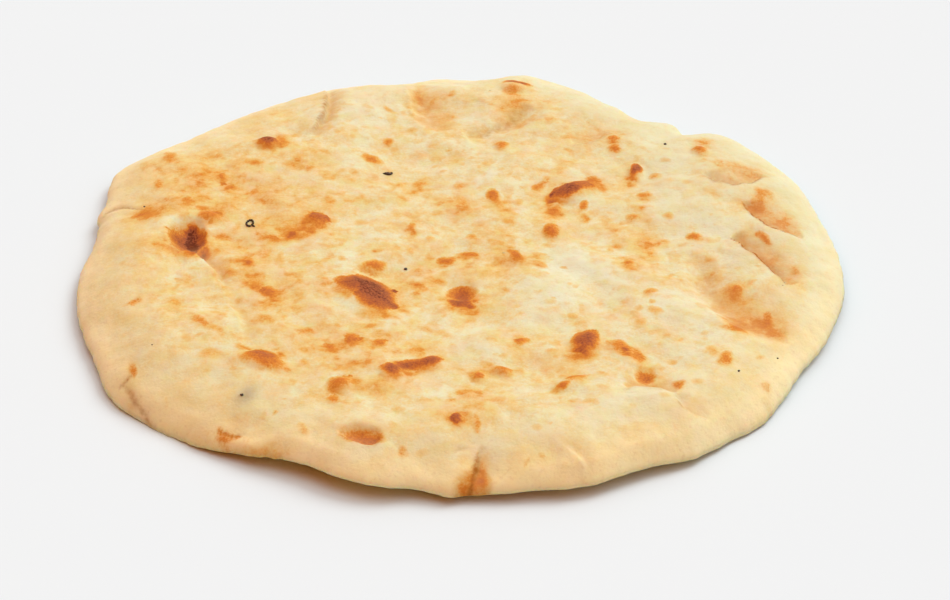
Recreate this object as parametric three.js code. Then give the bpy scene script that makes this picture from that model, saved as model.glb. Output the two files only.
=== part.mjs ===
// A naan: one round, flat, leavened bread, pulled wide by hand and baked on the wall of a hot oven.
// The solid holds the uneven outline, the puffed rim, the hollows pressed by the fingers, the folds
// and cracks of the stretched dough, and the blisters that the heat raised.
// Millimetres, +Z up. The origin is under the middle of the bread, on the surface that it lies on.

import * as THREE from "three";

// ---- Driving dimensions, in millimetres and degrees ----

const RADIUS = 121.5; // of the plain disc, before its outline is pulled out and pushed in
const CROWN_HEIGHT = 13; // the puffed rim above the table
const CENTRE_HEIGHT = 11.6; // the flatter middle
const EDGE_HEIGHT = 2.6; // the outermost line, where the top turns under
const SHOULDER = 36; // how far in from the edge the top keeps rising
const SHOULDER_POWER = 0.5; // 0.5 makes it a quarter ellipse, more makes its outer part gentler
const UNDERCUT = 22; // how far in from the edge the underside meets the table
const RIM_PUFF = 0.7; // extra height of the rim
const RIM_PUFF_AT = 22; // where that puff is highest, measured in from the edge
const RIM_PUFF_SPREAD = 13;

const WAVE_LENGTHS = [62, 31, 17]; // uneven thickness of hand-stretched dough
const WAVE_HEIGHTS = [0.55, 0.4, 0.22];
const WAVE_DIRECTIONS = 5;
const GOLDEN_ANGLE = 2.39996;

// Where the outline leaves the plain disc: [direction, how far out, spread].
const OUTLINE_LOBES = [
  [0, 0.5, 12],
  [24, 2, 6],
  [33, 1, 5],
  [46, -7.5, 2.5],
  [55, -13, 7],
  [65, -5, 6],
  [80, 5, 4],
  [85, -4, 8],
  [102, -5, 5],
  [111, -1, 2],
  [154, 9, 8],
  [166, 2, 3],
  [168, -0.8, 1],
  [174, -1, 4.5],
  [189, 1.5, 12],
  [211, 2.5, 6],
  [225, -1.5, 5],
  [238, 1, 4],
  [243, -10.5, 14],
  [267, -9.5, 10.5],
  [268, 2, 2.5],
  [281, -6, 8],
  [297, -7, 10],
  [312, -4, 6],
  [322, -2.5, 7],
  [333, -5, 9],
  [346, -1.5, 5],
];

// Where the outermost line curls up off the table or sinks to it: [direction, lift, spread].
const EDGE_LIFTS = [
  [222, -2.4, 12],
  [246, 3, 12],
  [258, 1.5, 8],
  [270, -0.3, 4],
  [281, 1, 8],
  [295, 1.5, 10],
  [318, -1.6, 12],
  [60, 0.9, 50],
  [140, 0.9, 40],
];

// Broad swells and hollows: [x, y, length, width, turn, rise].
const SWELLS = [
  [-76, -56, 78, 40, -42, 1.3],
  [-102, -14, 70, 34, 82, 1.2],
  [-28, -94, 92, 30, 4, 0.7],
  [60, -88, 84, 34, 33, 1.2],
  [52, -18, 74, 24, -46, 1.7],
  [-84, 74, 74, 34, 42, 0.8],
  [-30, 100, 66, 26, 2, 0.9],
  [50, 86, 40, 24, -20, 1.2],
  [90, -34, 34, 26, -68, -2.6],
  [-6, 86, 30, 34, 70, -1.6],
  [20, 79, 30, 14, 50, -1.8],
  [74, -18, 30, 12, 74, -1.2],
  [-8, -30, 74, 60, 10, -0.8],
  [-32, 24, 96, 66, 14, -0.5],
];

// Blisters raised by the heat, and pits where one burst or the dough sank: same form.
const BLISTERS = [
  [-30, -26, 28, 20.5, -60, 2.5],
  [37.5, 32.5, 21, 12.5, 30, 2.4],
  [37.5, -52.5, 14.5, 12, 85, 1.8],
  [50, -57.5, 16.5, 8.5, -55, 1],
  [-88.5, 8, 20, 14, -80, -4.5],
  [-0.5, -22, 14, 12, -90, -1.5],
  [-21, -67, 10, 9, -5, 1.2],
  [-10, -61.5, 11.5, 8.5, 30, 1.3],
  [-59, -62, 18.5, 9.5, -20, 1.4],
  [-29, -96, 14.5, 6.5, -10, -1.6],
  [-36, -73.5, 9.5, 9, -15, 1],
  [55, -67, 9, 8.5, 70, -1.4],
  [12, -66, 8.5, 6, 0, 1],
  [5, -69, 6, 6, 85, 0.8],
  [32, -72, 14, 7.5, 30, 1.1],
  [-28, -9.5, 11, 8.5, -5, 1],
  [-47.5, 16.5, 10.5, 8.5, -5, 1],
  [-82.5, 17.5, 9, 8, -20, 1],
  [-66, 61.5, 10, 9, -15, 1.7],
  [57.5, 46, 11.5, 6.5, 85, 1.5],
  [29, 10, 10.5, 7.5, 85, 1],
  [84, -24.5, 14.5, 9.5, 40, 0.8],
  [14.5, -3.5, 16, 8, -15, 0.5],
  [80, 58.5, 9.5, 8, 75, 1.3],
  [18.5, 101.5, 16, 8.5, 0, 1.4],
  [13, 61.5, 7.5, 7, 90, 0.7],
];

// A finger's press or a fold in the dough: a drop on the left of a curved path, over the width of
// step, which then eases back up over reach, with a rounded lip on its right.
// [start, bend, end, drop, reach, lip, step]
const FOLDS = [
  [[80, 43], [90, 26], [101, 47], 3.2, 17, 1.2, 2],
  [[92, 26], [96, 8], [110, 9], 3.6, 15, 1.3, 1.5],
  [[86, 5], [93, -6], [102, -19], 4.4, 16, 1.5, 1.5],
  [[72, -4], [74, -48], [100, -46], 2.2, 18, 0.6, 8],
  [[-48, 108], [-45, 81], [-52, 68], 2.6, 9, 0.8, 2],
  [[-92, -5], [-84, 5], [-74, -23], 2.2, 10, 1, 1.5],
  [[-74, -23], [-68, -36], [-65, -55], 0.8, 10, 0.5, 3],
  [[-17, 103], [-18, 83], [-9, 70], 2, 18, 0.6, 7],
  [[37, 63], [44, 63], [50, 72], 1.3, 12, 0.6, 3],
  [[48, -74], [56, -73], [63, -77], 2, 10, 0.9, 2],
  [[63, -77], [64, -84], [72, -85], 1.3, 7, 0.8, 1.5],
  [[-36, -95], [-27, -103], [-22, -98], 1.4, 7, 0.7, 1.5],
  [[29, -100], [36, -102], [35.5, -110], 0.7, 8, 0.5, 2],
  [[6, -99], [4, -111], [-1, -122], 1, 9, 0.6, 0.8],
];

// Narrow grooves, deepest in the middle of a curved path: [start, bend, end, depth, width].
const GROOVES = [
  [[-102, -64], [-99, -70], [-90, -79], 0.5, 2.2],
  [[-99, -62], [-101, -63], [-103, -65], 0.5, 2.2],
  [[-119, 27], [-114, 32], [-104, 24], 0.7, 2.2],
  [[-72, -87], [-68, -89], [-63, -90], 0.5, 2.4],
  [[-3, -102], [-1, -100], [2, -100], 0.5, 1.6],
  [[1, 68], [13, 72], [22, 88], 1.5, 8],
];

// How finely the surface is divided.
const TOP_RINGS = 40;
const TOP_SIDES_PER_RING = 6;
const TOP_CROWDING = 1.3; // over 1 sets the rings closer together at the rim
const UNDERSIDE_RINGS = [
  [0.992, 120],
  [0.97, 120],
  [0.93, 120],
  [0.88, 80],
  [0.815, 60],
  [0.5, 24],
  [0.2, 12],
];
const PATH_STEPS = 20; // chords that stand for a fold's curved path
const LEAST_STEP = 3; // no fold drops more steeply than over this distance
const LIP_SPREAD = 9; // a fold's lip rises over this distance
const RIM_EASE = 5; // relief fades out this close to the outermost line

// ---- Small helpers ----

const degrees = (angle) => (angle * Math.PI) / 180;
const clamp = (value) => Math.min(1, Math.max(0, value));

// An S-shaped rise from 0 to 1.
function ease(value) {
  const t = clamp(value);
  return t * t * (3 - 2 * t);
}

// 1 on the centre line, falling to 0 like a bell.
const bell = (distance, spread) => Math.exp(-((distance / spread) ** 2));

// ---- The outline seen from above ----

// A sum of bells round the compass, each at its direction with its size and spread.
function bellsRound(direction, bells) {
  let sum = 0;
  for (const [at, size, spread] of bells) {
    const turn = THREE.MathUtils.euclideanModulo(direction - at + 180, 360) - 180;
    sum += size * bell(turn, spread);
  }
  return sum;
}

const outlineRadius = (direction) => RADIUS + bellsRound(direction, OUTLINE_LOBES);
const edgeHeight = (direction) => EDGE_HEIGHT + bellsRound(direction, EDGE_LIFTS);

// ---- Relief of the top ----

// Gentle waves that run in several directions, none of which repeats over the bread.
function unevenness(x, y) {
  let height = 0;
  WAVE_LENGTHS.forEach((length, band) => {
    const amplitude = WAVE_HEIGHTS[band] / Math.sqrt(WAVE_DIRECTIONS);
    for (let i = 0; i < WAVE_DIRECTIONS; i += 1) {
      const heading = GOLDEN_ANGLE * (i + WAVE_DIRECTIONS * band);
      const along = x * Math.cos(heading) + y * Math.sin(heading);
      const phase = heading * heading;
      height += amplitude * Math.sin((2 * Math.PI * along) / length + phase);
    }
  });
  return height;
}

// A smooth elliptical dome: rise at its middle, level with the dough at its rim.
function dome(x, y, [atX, atY, length, width, turn, rise]) {
  const c = Math.cos(degrees(turn));
  const s = Math.sin(degrees(turn));
  const u = ((x - atX) * c + (y - atY) * s) / (length / 2);
  const v = ((y - atY) * c - (x - atX) * s) / (width / 2);
  const inside = Math.max(0, 1 - u * u - v * v);
  return rise * inside ** 1.5;
}

// The points of a curve that leaves start for bend and arrives at end.
function curvedPath([start, bend, end]) {
  const curve = new THREE.QuadraticBezierCurve(
    new THREE.Vector2(...start),
    new THREE.Vector2(...bend),
    new THREE.Vector2(...end),
  );
  return curve.getPoints(PATH_STEPS);
}

// Where a point lies on a path: its share of the way along, and its distance, positive on the left.
function nearestOnPath(x, y, path) {
  let nearest = { along: 0, distance: Infinity };
  for (let i = 0; i < path.length - 1; i += 1) {
    const chord = path[i + 1].clone().sub(path[i]);
    const offset = new THREE.Vector2(x, y).sub(path[i]);
    const share = clamp(offset.dot(chord) / chord.lengthSq());
    const side = Math.sign(chord.cross(offset)) || 1;
    const distance = offset.addScaledVector(chord, -share).length();
    if (distance < Math.abs(nearest.distance)) {
      nearest = { along: (i + share) / (path.length - 1), distance: side * distance };
    }
  }
  return nearest;
}

// Full strength in the middle of a path, nothing at its two ends.
const taper = (along) => Math.sqrt(clamp(4 * along * (1 - along)));

function fold(x, y, { path, drop, reach, lip, step }) {
  const { along, distance } = nearestOnPath(x, y, path);
  const fallen = ease(distance / Math.max(step, LEAST_STEP) + 0.5);
  const recovery = clamp(1 - distance / reach) ** 2;
  const rise = lip * bell(distance, LIP_SPREAD) * (1 - fallen);
  return taper(along) * (rise - drop * fallen * recovery);
}

function groove(x, y, { path, depth, width }) {
  const { along, distance } = nearestOnPath(x, y, path);
  return -depth * taper(along) * bell(distance, width / 2);
}

const folds = FOLDS.map(([start, bend, end, drop, reach, lip, step]) => ({
  path: curvedPath([start, bend, end]),
  drop,
  reach,
  lip,
  step,
}));

const grooves = GROOVES.map(([start, bend, end, depth, width]) => ({
  path: curvedPath([start, bend, end]),
  depth,
  width,
}));

function relief(x, y) {
  let height = unevenness(x, y);
  for (const swell of SWELLS) height += dome(x, y, swell);
  for (const blister of BLISTERS) height += dome(x, y, blister);
  for (const one of folds) height += fold(x, y, one);
  for (const one of grooves) height += groove(x, y, one);
  return height;
}

// ---- The two surfaces, as heights at a share of the way out to the outline ----

// A rounded shoulder up from the outermost line, a puffed rim, a lower middle, and the relief.
function topHeight({ x, y, share, edge }) {
  const inward = (1 - share) * RADIUS;
  const left = 1 - clamp(inward / SHOULDER);
  const shoulder = (1 - left * left) ** SHOULDER_POWER;
  const settle = ease((inward - SHOULDER) / RADIUS);
  const crown = CROWN_HEIGHT + (CENTRE_HEIGHT - CROWN_HEIGHT) * settle;
  const puff = RIM_PUFF * bell(inward - RIM_PUFF_AT, RIM_PUFF_SPREAD);
  const fade = ease(inward / RIM_EASE);
  return edge + (crown - edge) * shoulder + fade * (puff + relief(x, y));
}

// The underside leaves the outermost line level, and comes down in an S to the flat foot.
function undersideHeight({ share, edge }) {
  const inward = (1 - share) * RADIUS;
  return edge * (1 - ease(inward / UNDERCUT));
}

// ---- The mesh: rings of points from the rim to the middle, above and below ----

// The points of one ring, at one share of the way out.
function ring(share, count, heightOf) {
  return Array.from({ length: count }, (_, i) => {
    const direction = (360 * i) / count;
    const radius = share * outlineRadius(direction);
    const x = radius * Math.cos(degrees(direction));
    const y = radius * Math.sin(degrees(direction));
    return [x, y, heightOf({ x, y, share, edge: edgeHeight(direction) })];
  });
}

// Triangles between an outer and an inner ring of any two counts: walk round both, always
// stepping on the ring whose next point comes first.
function stitch(outer, inner, addTriangle) {
  let i = 0;
  let j = 0;
  while (i < outer.length || j < inner.length) {
    const here = outer[i % outer.length];
    const there = inner[j % inner.length];
    if ((i + 0.5) / outer.length <= (j + 0.5) / inner.length) {
      i += 1;
      addTriangle(here, outer[i % outer.length], there);
    } else {
      j += 1;
      addTriangle(here, inner[j % inner.length], there);
    }
  }
}

function breadGeometry() {
  const positions = [];
  const facingUp = (a, b, c) => positions.push(...a, ...b, ...c);
  const facingDown = (a, b, c) => positions.push(...c, ...b, ...a);

  const top = [];
  for (let k = TOP_RINGS; k > 0; k -= 1) {
    const share = 1 - (1 - k / TOP_RINGS) ** TOP_CROWDING;
    top.push(ring(share, TOP_SIDES_PER_RING * k, topHeight));
  }
  top.push([[0, 0, topHeight({ x: 0, y: 0, share: 0, edge: EDGE_HEIGHT })]]);

  const underside = [top[0]];
  for (const [share, count] of UNDERSIDE_RINGS) {
    underside.push(ring(share, count, undersideHeight));
  }
  underside.push([[0, 0, 0]]);

  for (let k = 0; k < top.length - 1; k += 1) stitch(top[k], top[k + 1], facingUp);
  for (let k = 0; k < underside.length - 1; k += 1) stitch(underside[k], underside[k + 1], facingDown);

  const geometry = new THREE.BufferGeometry();
  geometry.setAttribute("position", new THREE.Float32BufferAttribute(positions, 3));
  geometry.computeBoundingBox();
  const middle = geometry.boundingBox.getCenter(new THREE.Vector3());
  geometry.translate(-middle.x, -middle.y, -geometry.boundingBox.min.z);
  geometry.computeVertexNormals();
  return geometry;
}

// ---- The bread ----

const crust = new THREE.MeshStandardMaterial({ color: 0xecce96, roughness: 0.7, metalness: 0 });

const naan = new THREE.Mesh(breadGeometry(), crust);
naan.name = "naan";

const bread = new THREE.Group();
bread.add(naan);

export default bread;
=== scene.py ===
# %% [markdown]
# # A naan, pulled wide by hand and baked in a hot oven
#
# A naan is one piece of leavened dough, pressed and pulled out with the fingers and baked in a few
# minutes on very hot clay. The pale puffed rim, the hollows of the fingers, the folds of the dough
# and the browned blisters are all one skin, so this lesson makes one closed surface and one finish.
# It could be sculpted by hand, but a surface worked out from formulas can be measured, and it keeps
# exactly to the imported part, which is loaded first as a fixed frame.

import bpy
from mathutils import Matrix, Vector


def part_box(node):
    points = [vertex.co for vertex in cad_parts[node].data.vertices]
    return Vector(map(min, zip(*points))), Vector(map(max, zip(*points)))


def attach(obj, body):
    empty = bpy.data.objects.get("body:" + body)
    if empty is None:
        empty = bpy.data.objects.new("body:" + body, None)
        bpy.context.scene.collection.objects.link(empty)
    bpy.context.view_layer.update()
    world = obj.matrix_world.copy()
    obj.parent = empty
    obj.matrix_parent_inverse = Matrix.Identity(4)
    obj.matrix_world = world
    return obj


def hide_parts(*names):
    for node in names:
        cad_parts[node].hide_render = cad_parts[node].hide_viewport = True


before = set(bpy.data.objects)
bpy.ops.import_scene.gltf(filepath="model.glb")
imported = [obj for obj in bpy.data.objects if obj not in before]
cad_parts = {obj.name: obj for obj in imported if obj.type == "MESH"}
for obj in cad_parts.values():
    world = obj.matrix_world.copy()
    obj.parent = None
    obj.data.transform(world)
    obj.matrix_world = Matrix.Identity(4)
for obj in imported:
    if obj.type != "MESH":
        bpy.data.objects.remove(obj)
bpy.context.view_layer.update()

# %% The tools of this lesson
import math

import bpy
import numpy as np
from mathutils import Vector

MM = 0.001  # shapes are worked out in millimetres, and Blender counts in metres
SEED = 7

# %% [markdown]
# ## The outline seen from above
#
# A baker never pulls a perfect circle: the dough runs out where a hand pulled it, and draws in where
# it tore or folded. A traced outline would be a long list of points. A plain disc with a few smooth
# bells added round the compass says the same with one line for each bulge and each notch, and the
# same bells are in the part's own source, so the two outlines agree.

# %% Bulges and notches of the outline
RADIUS = 121.5  # of the plain disc, mm

# [direction in degrees, how far out, spread]
OUTLINE_LOBES = [
    [0, 0.5, 12], [24, 2, 6], [33, 1, 5], [46, -7.5, 2.5], [55, -13, 7], [65, -5, 6],
    [80, 5, 4], [85, -4, 8], [102, -5, 5], [111, -1, 2], [154, 9, 8], [166, 2, 3],
    [168, -0.8, 1], [174, -1, 4.5], [189, 1.5, 12], [211, 2.5, 6], [225, -1.5, 5], [238, 1, 4],
    [243, -10.5, 14], [267, -9.5, 10.5], [268, 2, 2.5], [281, -6, 8], [297, -7, 10],
    [312, -4, 6], [322, -2.5, 7], [333, -5, 9], [346, -1.5, 5],
]

# Where the outermost line curls up off the table or sinks to it: [direction, lift, spread]
EDGE_HEIGHT = 2.6
EDGE_LIFTS = [
    [222, -2.4, 12], [246, 3, 12], [258, 1.5, 8], [270, -0.3, 4], [281, 1, 8], [295, 1.5, 10],
    [318, -1.6, 12], [60, 0.9, 50], [140, 0.9, 40],
]


def bell(distance, spread):
    """exp(-(distance / spread) squared): 1 in the middle, falling to 0."""
    return np.exp(-((distance / spread) ** 2))


def ease(value):
    """An S-shaped rise from 0 to 1: 3 t^2 - 2 t^3, with t the value held between 0 and 1."""
    t = np.clip(value, 0, 1)
    return t * t * (3 - 2 * t)


def bells_round(direction, bells):
    """The sum over all bells of size * bell(turn, spread), with turn the angle from the bell."""
    at, size, spread = np.array(bells, float).T
    turn = (direction[..., None] - at + 180) % 360 - 180
    return (size * bell(turn, spread)).sum(-1)


def outline_radius(direction):
    """The plain radius plus its bulges and notches."""
    return RADIUS + bells_round(direction, OUTLINE_LOBES)


def edge_height(direction):
    """The height of the outermost line plus its lifts."""
    return EDGE_HEIGHT + bells_round(direction, EDGE_LIFTS)


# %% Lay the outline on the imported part
RIM_POINTS = 240
direction = np.arange(RIM_POINTS) * 360 / RIM_POINTS
rim = outline_radius(direction) * np.array([np.cos(np.radians(direction)), np.sin(np.radians(direction))])
box_low, box_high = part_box("naan")
packed_middle = np.array((box_low + box_high)[:2]) / 2 / MM
SHIFT = packed_middle - (rim.max(1) + rim.min(1)) / 2  # from this lesson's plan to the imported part
print("Outline", np.round(np.ptp(rim, axis=1), 2), "mm, shifted by", np.round(SHIFT, 2), "mm")

# %% [markdown]
# ## Uneven dough
#
# Dough stretched by hand is never level. Long gentle waves in several directions give its uneven
# thickness, and lattice noise gives the smaller lumps. Lattice noise puts a random slope at each
# crossing of a square net and blends the slopes smoothly between them, so it has one size of lump
# and no direction, which plain sine waves can't do at a small scale.

# %% Waves and noise
WAVE_LENGTHS = [62, 31, 17]
WAVE_HEIGHTS = [0.55, 0.4, 0.22]
WAVE_DIRECTIONS = 5
GOLDEN_ANGLE = 2.39996


def unevenness(x, y):
    """Three bands of five sine waves each; every wave runs in a heading of its own."""
    height = np.zeros_like(x)
    for band, (length, size) in enumerate(zip(WAVE_LENGTHS, WAVE_HEIGHTS)):
        for i in range(WAVE_DIRECTIONS):
            heading = GOLDEN_ANGLE * (i + WAVE_DIRECTIONS * band)
            along = x * np.cos(heading) + y * np.sin(heading)
            wave = np.sin(2 * np.pi * along / length + heading * heading)
            height += size / np.sqrt(WAVE_DIRECTIONS) * wave
    return height


LATTICE = 256


def lumps(x, y, cell, seed):
    """Lattice noise, about -0.7 to 0.7: the plane of each corner's random slope, blended between
    corners by 6 t^5 - 15 t^4 + 10 t^3; cell is the side of a lattice square in millimetres."""
    slope = np.random.default_rng([SEED, seed]).uniform(0, 2 * np.pi, (LATTICE, LATTICE))
    column, row = np.floor(x / cell).astype(int), np.floor(y / cell).astype(int)
    across, up = x / cell - column, y / cell - row

    def corner(right, above):
        angle = slope[(column + right) % LATTICE, (row + above) % LATTICE]
        return np.cos(angle) * (across - right) + np.sin(angle) * (up - above)

    blend_x, blend_y = (t * t * t * (t * (6 * t - 15) + 10) for t in (across, up))
    low = corner(0, 0) * (1 - blend_x) + corner(1, 0) * blend_x
    high = corner(0, 1) * (1 - blend_x) + corner(1, 1) * blend_x
    return low * (1 - blend_y) + high * blend_y


sample = lumps(*np.random.default_rng(1).uniform(-100, 100, (2, 20000)), 5, 1)
print("Noise runs from", sample.min().round(2), "to", sample.max().round(2))

# %% [markdown]
# ## Swells, blisters and pits
#
# Gas gathers under the skin and lifts it in domes; where a dome bursts or sinks it leaves a pit with
# a sharp near edge. Each is an elliptical dome, and a pit is a dome turned down. The broad swells of
# the puffed rim have the same form, many times larger.

# %% Domes
# [x, y, length, width, turn, rise]
SWELLS = [
    [-76, -56, 78, 40, -42, 1.3], [-102, -14, 70, 34, 82, 1.2], [-28, -94, 92, 30, 4, 0.7],
    [60, -88, 84, 34, 33, 1.2], [52, -18, 74, 24, -46, 1.7], [-84, 74, 74, 34, 42, 0.8],
    [-30, 100, 66, 26, 2, 0.9], [50, 86, 40, 24, -20, 1.2], [90, -34, 34, 26, -68, -2.6],
    [-6, 86, 30, 34, 70, -1.6], [20, 79, 30, 14, 50, -1.8], [74, -18, 30, 12, 74, -1.2],
    [-8, -30, 74, 60, 10, -0.8], [-32, 24, 96, 66, 14, -0.5],
]
BLISTERS = [
    [-30, -26, 28, 20.5, -60, 2.5], [37.5, 33, 21, 12.5, 30, 2.4],
    [37.5, -52.5, 14.5, 12, 85, 1.8], [50, -57.5, 16.5, 8.5, -55, 1],
    [-88.5, 8, 20, 14, -80, -4.5], [-0.5, -22, 14, 12, -90, -1.5], [-21, -67, 10, 9, -5, 1.2],
    [-10, -61.5, 11.5, 8.5, 30, 1.3], [-59, -62, 18.5, 9.5, -20, 1.4],
    [-29, -95.5, 14.5, 6.5, -10, -1.6], [-36, -73.5, 9.5, 9, -15, 1], [55, -67, 9, 8.5, 70, -1.4],
    [12, -66.5, 8.5, 6, 0, 1], [5, -69, 6, 6, 85, 0.8], [32, -72, 14, 7.5, 30, 1.1],
    [-28, -9.5, 11, 8.5, -5, 1], [-47.5, 16.5, 10.5, 8.5, -5, 1], [-82.5, 17.5, 9, 8, -20, 1],
    [-66, 62.5, 10, 9, -15, 1.7], [57.5, 46, 11.5, 6.5, 85, 1.5], [29, 10, 10.5, 7.5, 85, 1],
    [84, -24.5, 14.5, 9.5, 40, 0.8], [14.5, -4, 16, 8, -15, 0.5], [80, 58.5, 9.5, 8, 75, 1.3],
    [18.5, 101.5, 16, 8.5, 0, 1.4], [13, 61.5, 7.5, 7, 90, 0.7],
]


def ellipse(x, y, at_x, at_y, length, width, turn):
    """Distance from an ellipse's middle, 1 on its edge: u along its length, v across."""
    c, s = np.cos(np.radians(turn)), np.sin(np.radians(turn))
    u = ((x - at_x) * c + (y - at_y) * s) / (length / 2)
    v = ((y - at_y) * c - (x - at_x) * s) / (width / 2)
    return np.hypot(u, v)


def dome(x, y, at_x, at_y, length, width, turn, rise):
    """rise * (1 - r^2)^1.5 inside the ellipse, level with the dough at its edge."""
    inside = np.maximum(0, 1 - ellipse(x, y, at_x, at_y, length, width, turn) ** 2)
    return rise * inside**1.5


# %% [markdown]
# ## Finger presses, folds and cracks
#
# A finger that presses the dough leaves a wall on one side and a slope that climbs back on the
# other. Both run beside a curved path. The height then depends on two numbers alone: how far along
# the path a point lies, and how far beside it. That is quick for whole arrays of points, and the
# line stays crisp, which a painted or sculpted crease would not.

# %% Distance to a curved path
PATH_STEPS = 20


def curved_path(start, bend, end):
    """Points of (1-t)^2 start + 2 t (1-t) bend + t^2 end, for t from 0 to 1."""
    t = np.linspace(0, 1, PATH_STEPS + 1)[:, None]
    start, bend, end = (np.array(point, float) for point in (start, bend, end))
    return (1 - t) ** 2 * start + 2 * t * (1 - t) * bend + t * t * end


def beside_path(x, y, path):
    """Share of the way along the path's nearest chord, and distance to it, positive on the left."""
    along, nearest = np.zeros_like(x), np.full_like(x, np.inf)
    for i, (here, there) in enumerate(zip(path[:-1], path[1:])):
        chord = there - here
        off_x, off_y = x - here[0], y - here[1]
        share = np.clip((off_x * chord[0] + off_y * chord[1]) / (chord @ chord), 0, 1)
        side = np.where(chord[0] * off_y - chord[1] * off_x < 0, -1, 1)
        distance = np.hypot(off_x - share * chord[0], off_y - share * chord[1])
        closer = distance < np.abs(nearest)
        nearest = np.where(closer, side * distance, nearest)
        along = np.where(closer, (i + share) / (len(path) - 1), along)
    return along, nearest


def taper(along):
    """sqrt(4 a (1 - a)): full strength half way along, nothing at the two ends."""
    return np.sqrt(np.clip(4 * along * (1 - along), 0, 1))


# %% Folds and grooves
# [start, bend, end, drop, reach, lip, step, stain]: the dough drops over the width of step, and
# stain is how brown the foot of the fold is
FOLDS = [
    [(80, 43), (90, 26), (101, 47), 3.2, 17, 1.2, 2, 1],
    [(92, 26), (96, 8), (110, 9), 3.6, 15, 1.3, 1.5, 2.2],
    [(86, 5), (93, -6), (102, -19), 4.4, 16, 1.5, 1.5, 2.2],
    [(72, -4), (74, -48), (100, -46), 2.2, 18, 0.6, 8, 0],
    [(-48, 108), (-45, 81), (-52, 68), 2.6, 9, 0.8, 2, 0.6],
    [(-92, -5), (-84, 5), (-74, -23), 2.2, 10, 1, 1.5, 0.2],
    [(-74, -23), (-68, -36), (-65, -55), 0.8, 10, 0.5, 3, 0.1],
    [(-17, 103), (-18, 83), (-9, 70), 2, 18, 0.6, 7, 0.1],
    [(37, 63), (44, 63), (50, 72), 1.3, 12, 0.6, 3, 0.3],
    [(48, -74), (56, -73), (63, -77), 2, 10, 0.9, 2, 0.4],
    [(63, -77), (64, -84), (72, -85), 1.3, 7, 0.8, 1.5, 0.5],
    [(-36, -95), (-27, -103), (-22, -98), 1.4, 7, 0.7, 1.5, 0.5],
    [(29, -100), (36, -102), (35.5, -110), 0.7, 8, 0.5, 2, 0.2],
    [(6, -99), (4, -111), (-1, -122), 1, 9, 0.6, 0.8, 0.9],
]
# [start, bend, end, depth, width, stain]
GROOVES = [
    [(-102, -64), (-99, -70), (-90, -79), 0.4, 2.2, 0.55],
    [(-99, -62), (-101, -63), (-103, -65), 0.4, 2.2, 0.7],
    [(-119, 27), (-114, 32), (-104, 24), 0.5, 1.8, 0.6],
    [(-72, -87), (-68, -89), (-63, -90), 0.4, 2.2, 0.4],
    [(-3, -102), (-1, -100), (2, -100), 0.4, 1.6, 0.25],
    [(1, 68), (13, 72), (22, 88), 1.5, 8, 0.35],
]
LIP_SPREAD = 9  # the dough rises gently towards the lip of a fold over this distance
STAIN_WIDTH = 0.6
SHADE_REACH = 0.45  # the painted shade in the hollow fades over this share of the fold's own reach
SHADED_DROP = 3  # and is at full strength beside a drop of this depth
WOBBLE, WOBBLE_CELL = 1.4, 5  # torn dough doesn't follow a drawn curve


def fold_relief(x, y, start, bend, end, drop, reach, lip, step, stain):
    """Height: a long rise to a lip on the right, a drop on the left over the width of step, which
    eases back up over reach. Stain: a thin line at its edge. Shade: painted shade in the hollow beyond."""
    along, distance = beside_path(x, y, curved_path(start, bend, end))
    fallen = ease(distance / step + 0.5)
    recovery = np.clip(1 - distance / reach, 0, 1) ** 2
    height = lip * bell(distance, LIP_SPREAD) * (1 - fallen) - drop * fallen * recovery
    line = stain * bell(distance + (step - STAIN_WIDTH) / 2, STAIN_WIDTH)
    shade = fallen * bell(distance / reach, SHADE_REACH) * min(1, drop / SHADED_DROP)
    return taper(along) * height, taper(along) * line, taper(along) * shade


def groove_relief(x, y, start, bend, end, depth, width, stain):
    """Height: -depth * bell(distance, width / 2). Stain: the same bell at half that width. Shade:
    painted shade, a third of the stain at twice that width."""
    along, distance = beside_path(x, y, curved_path(start, bend, end))
    strength = stain * taper(along)
    height = -depth * taper(along) * bell(distance, width / 2)
    return height, strength * bell(distance, width / 4), strength * bell(distance, width) / 3


# %% [markdown]
# ## Where the crust has browned
#
# Dough browns where it stands up into the heat, so every small blister has a brown cap. On a raised
# blister the cap ends sharply on its far side and fades towards the near side, and in a sunken one
# it is the other way round. Each mark is an ellipse with its own darkness. An image would carry
# the colour too, but marks with sizes can also lift the skin, so colour and relief always agree.

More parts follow.
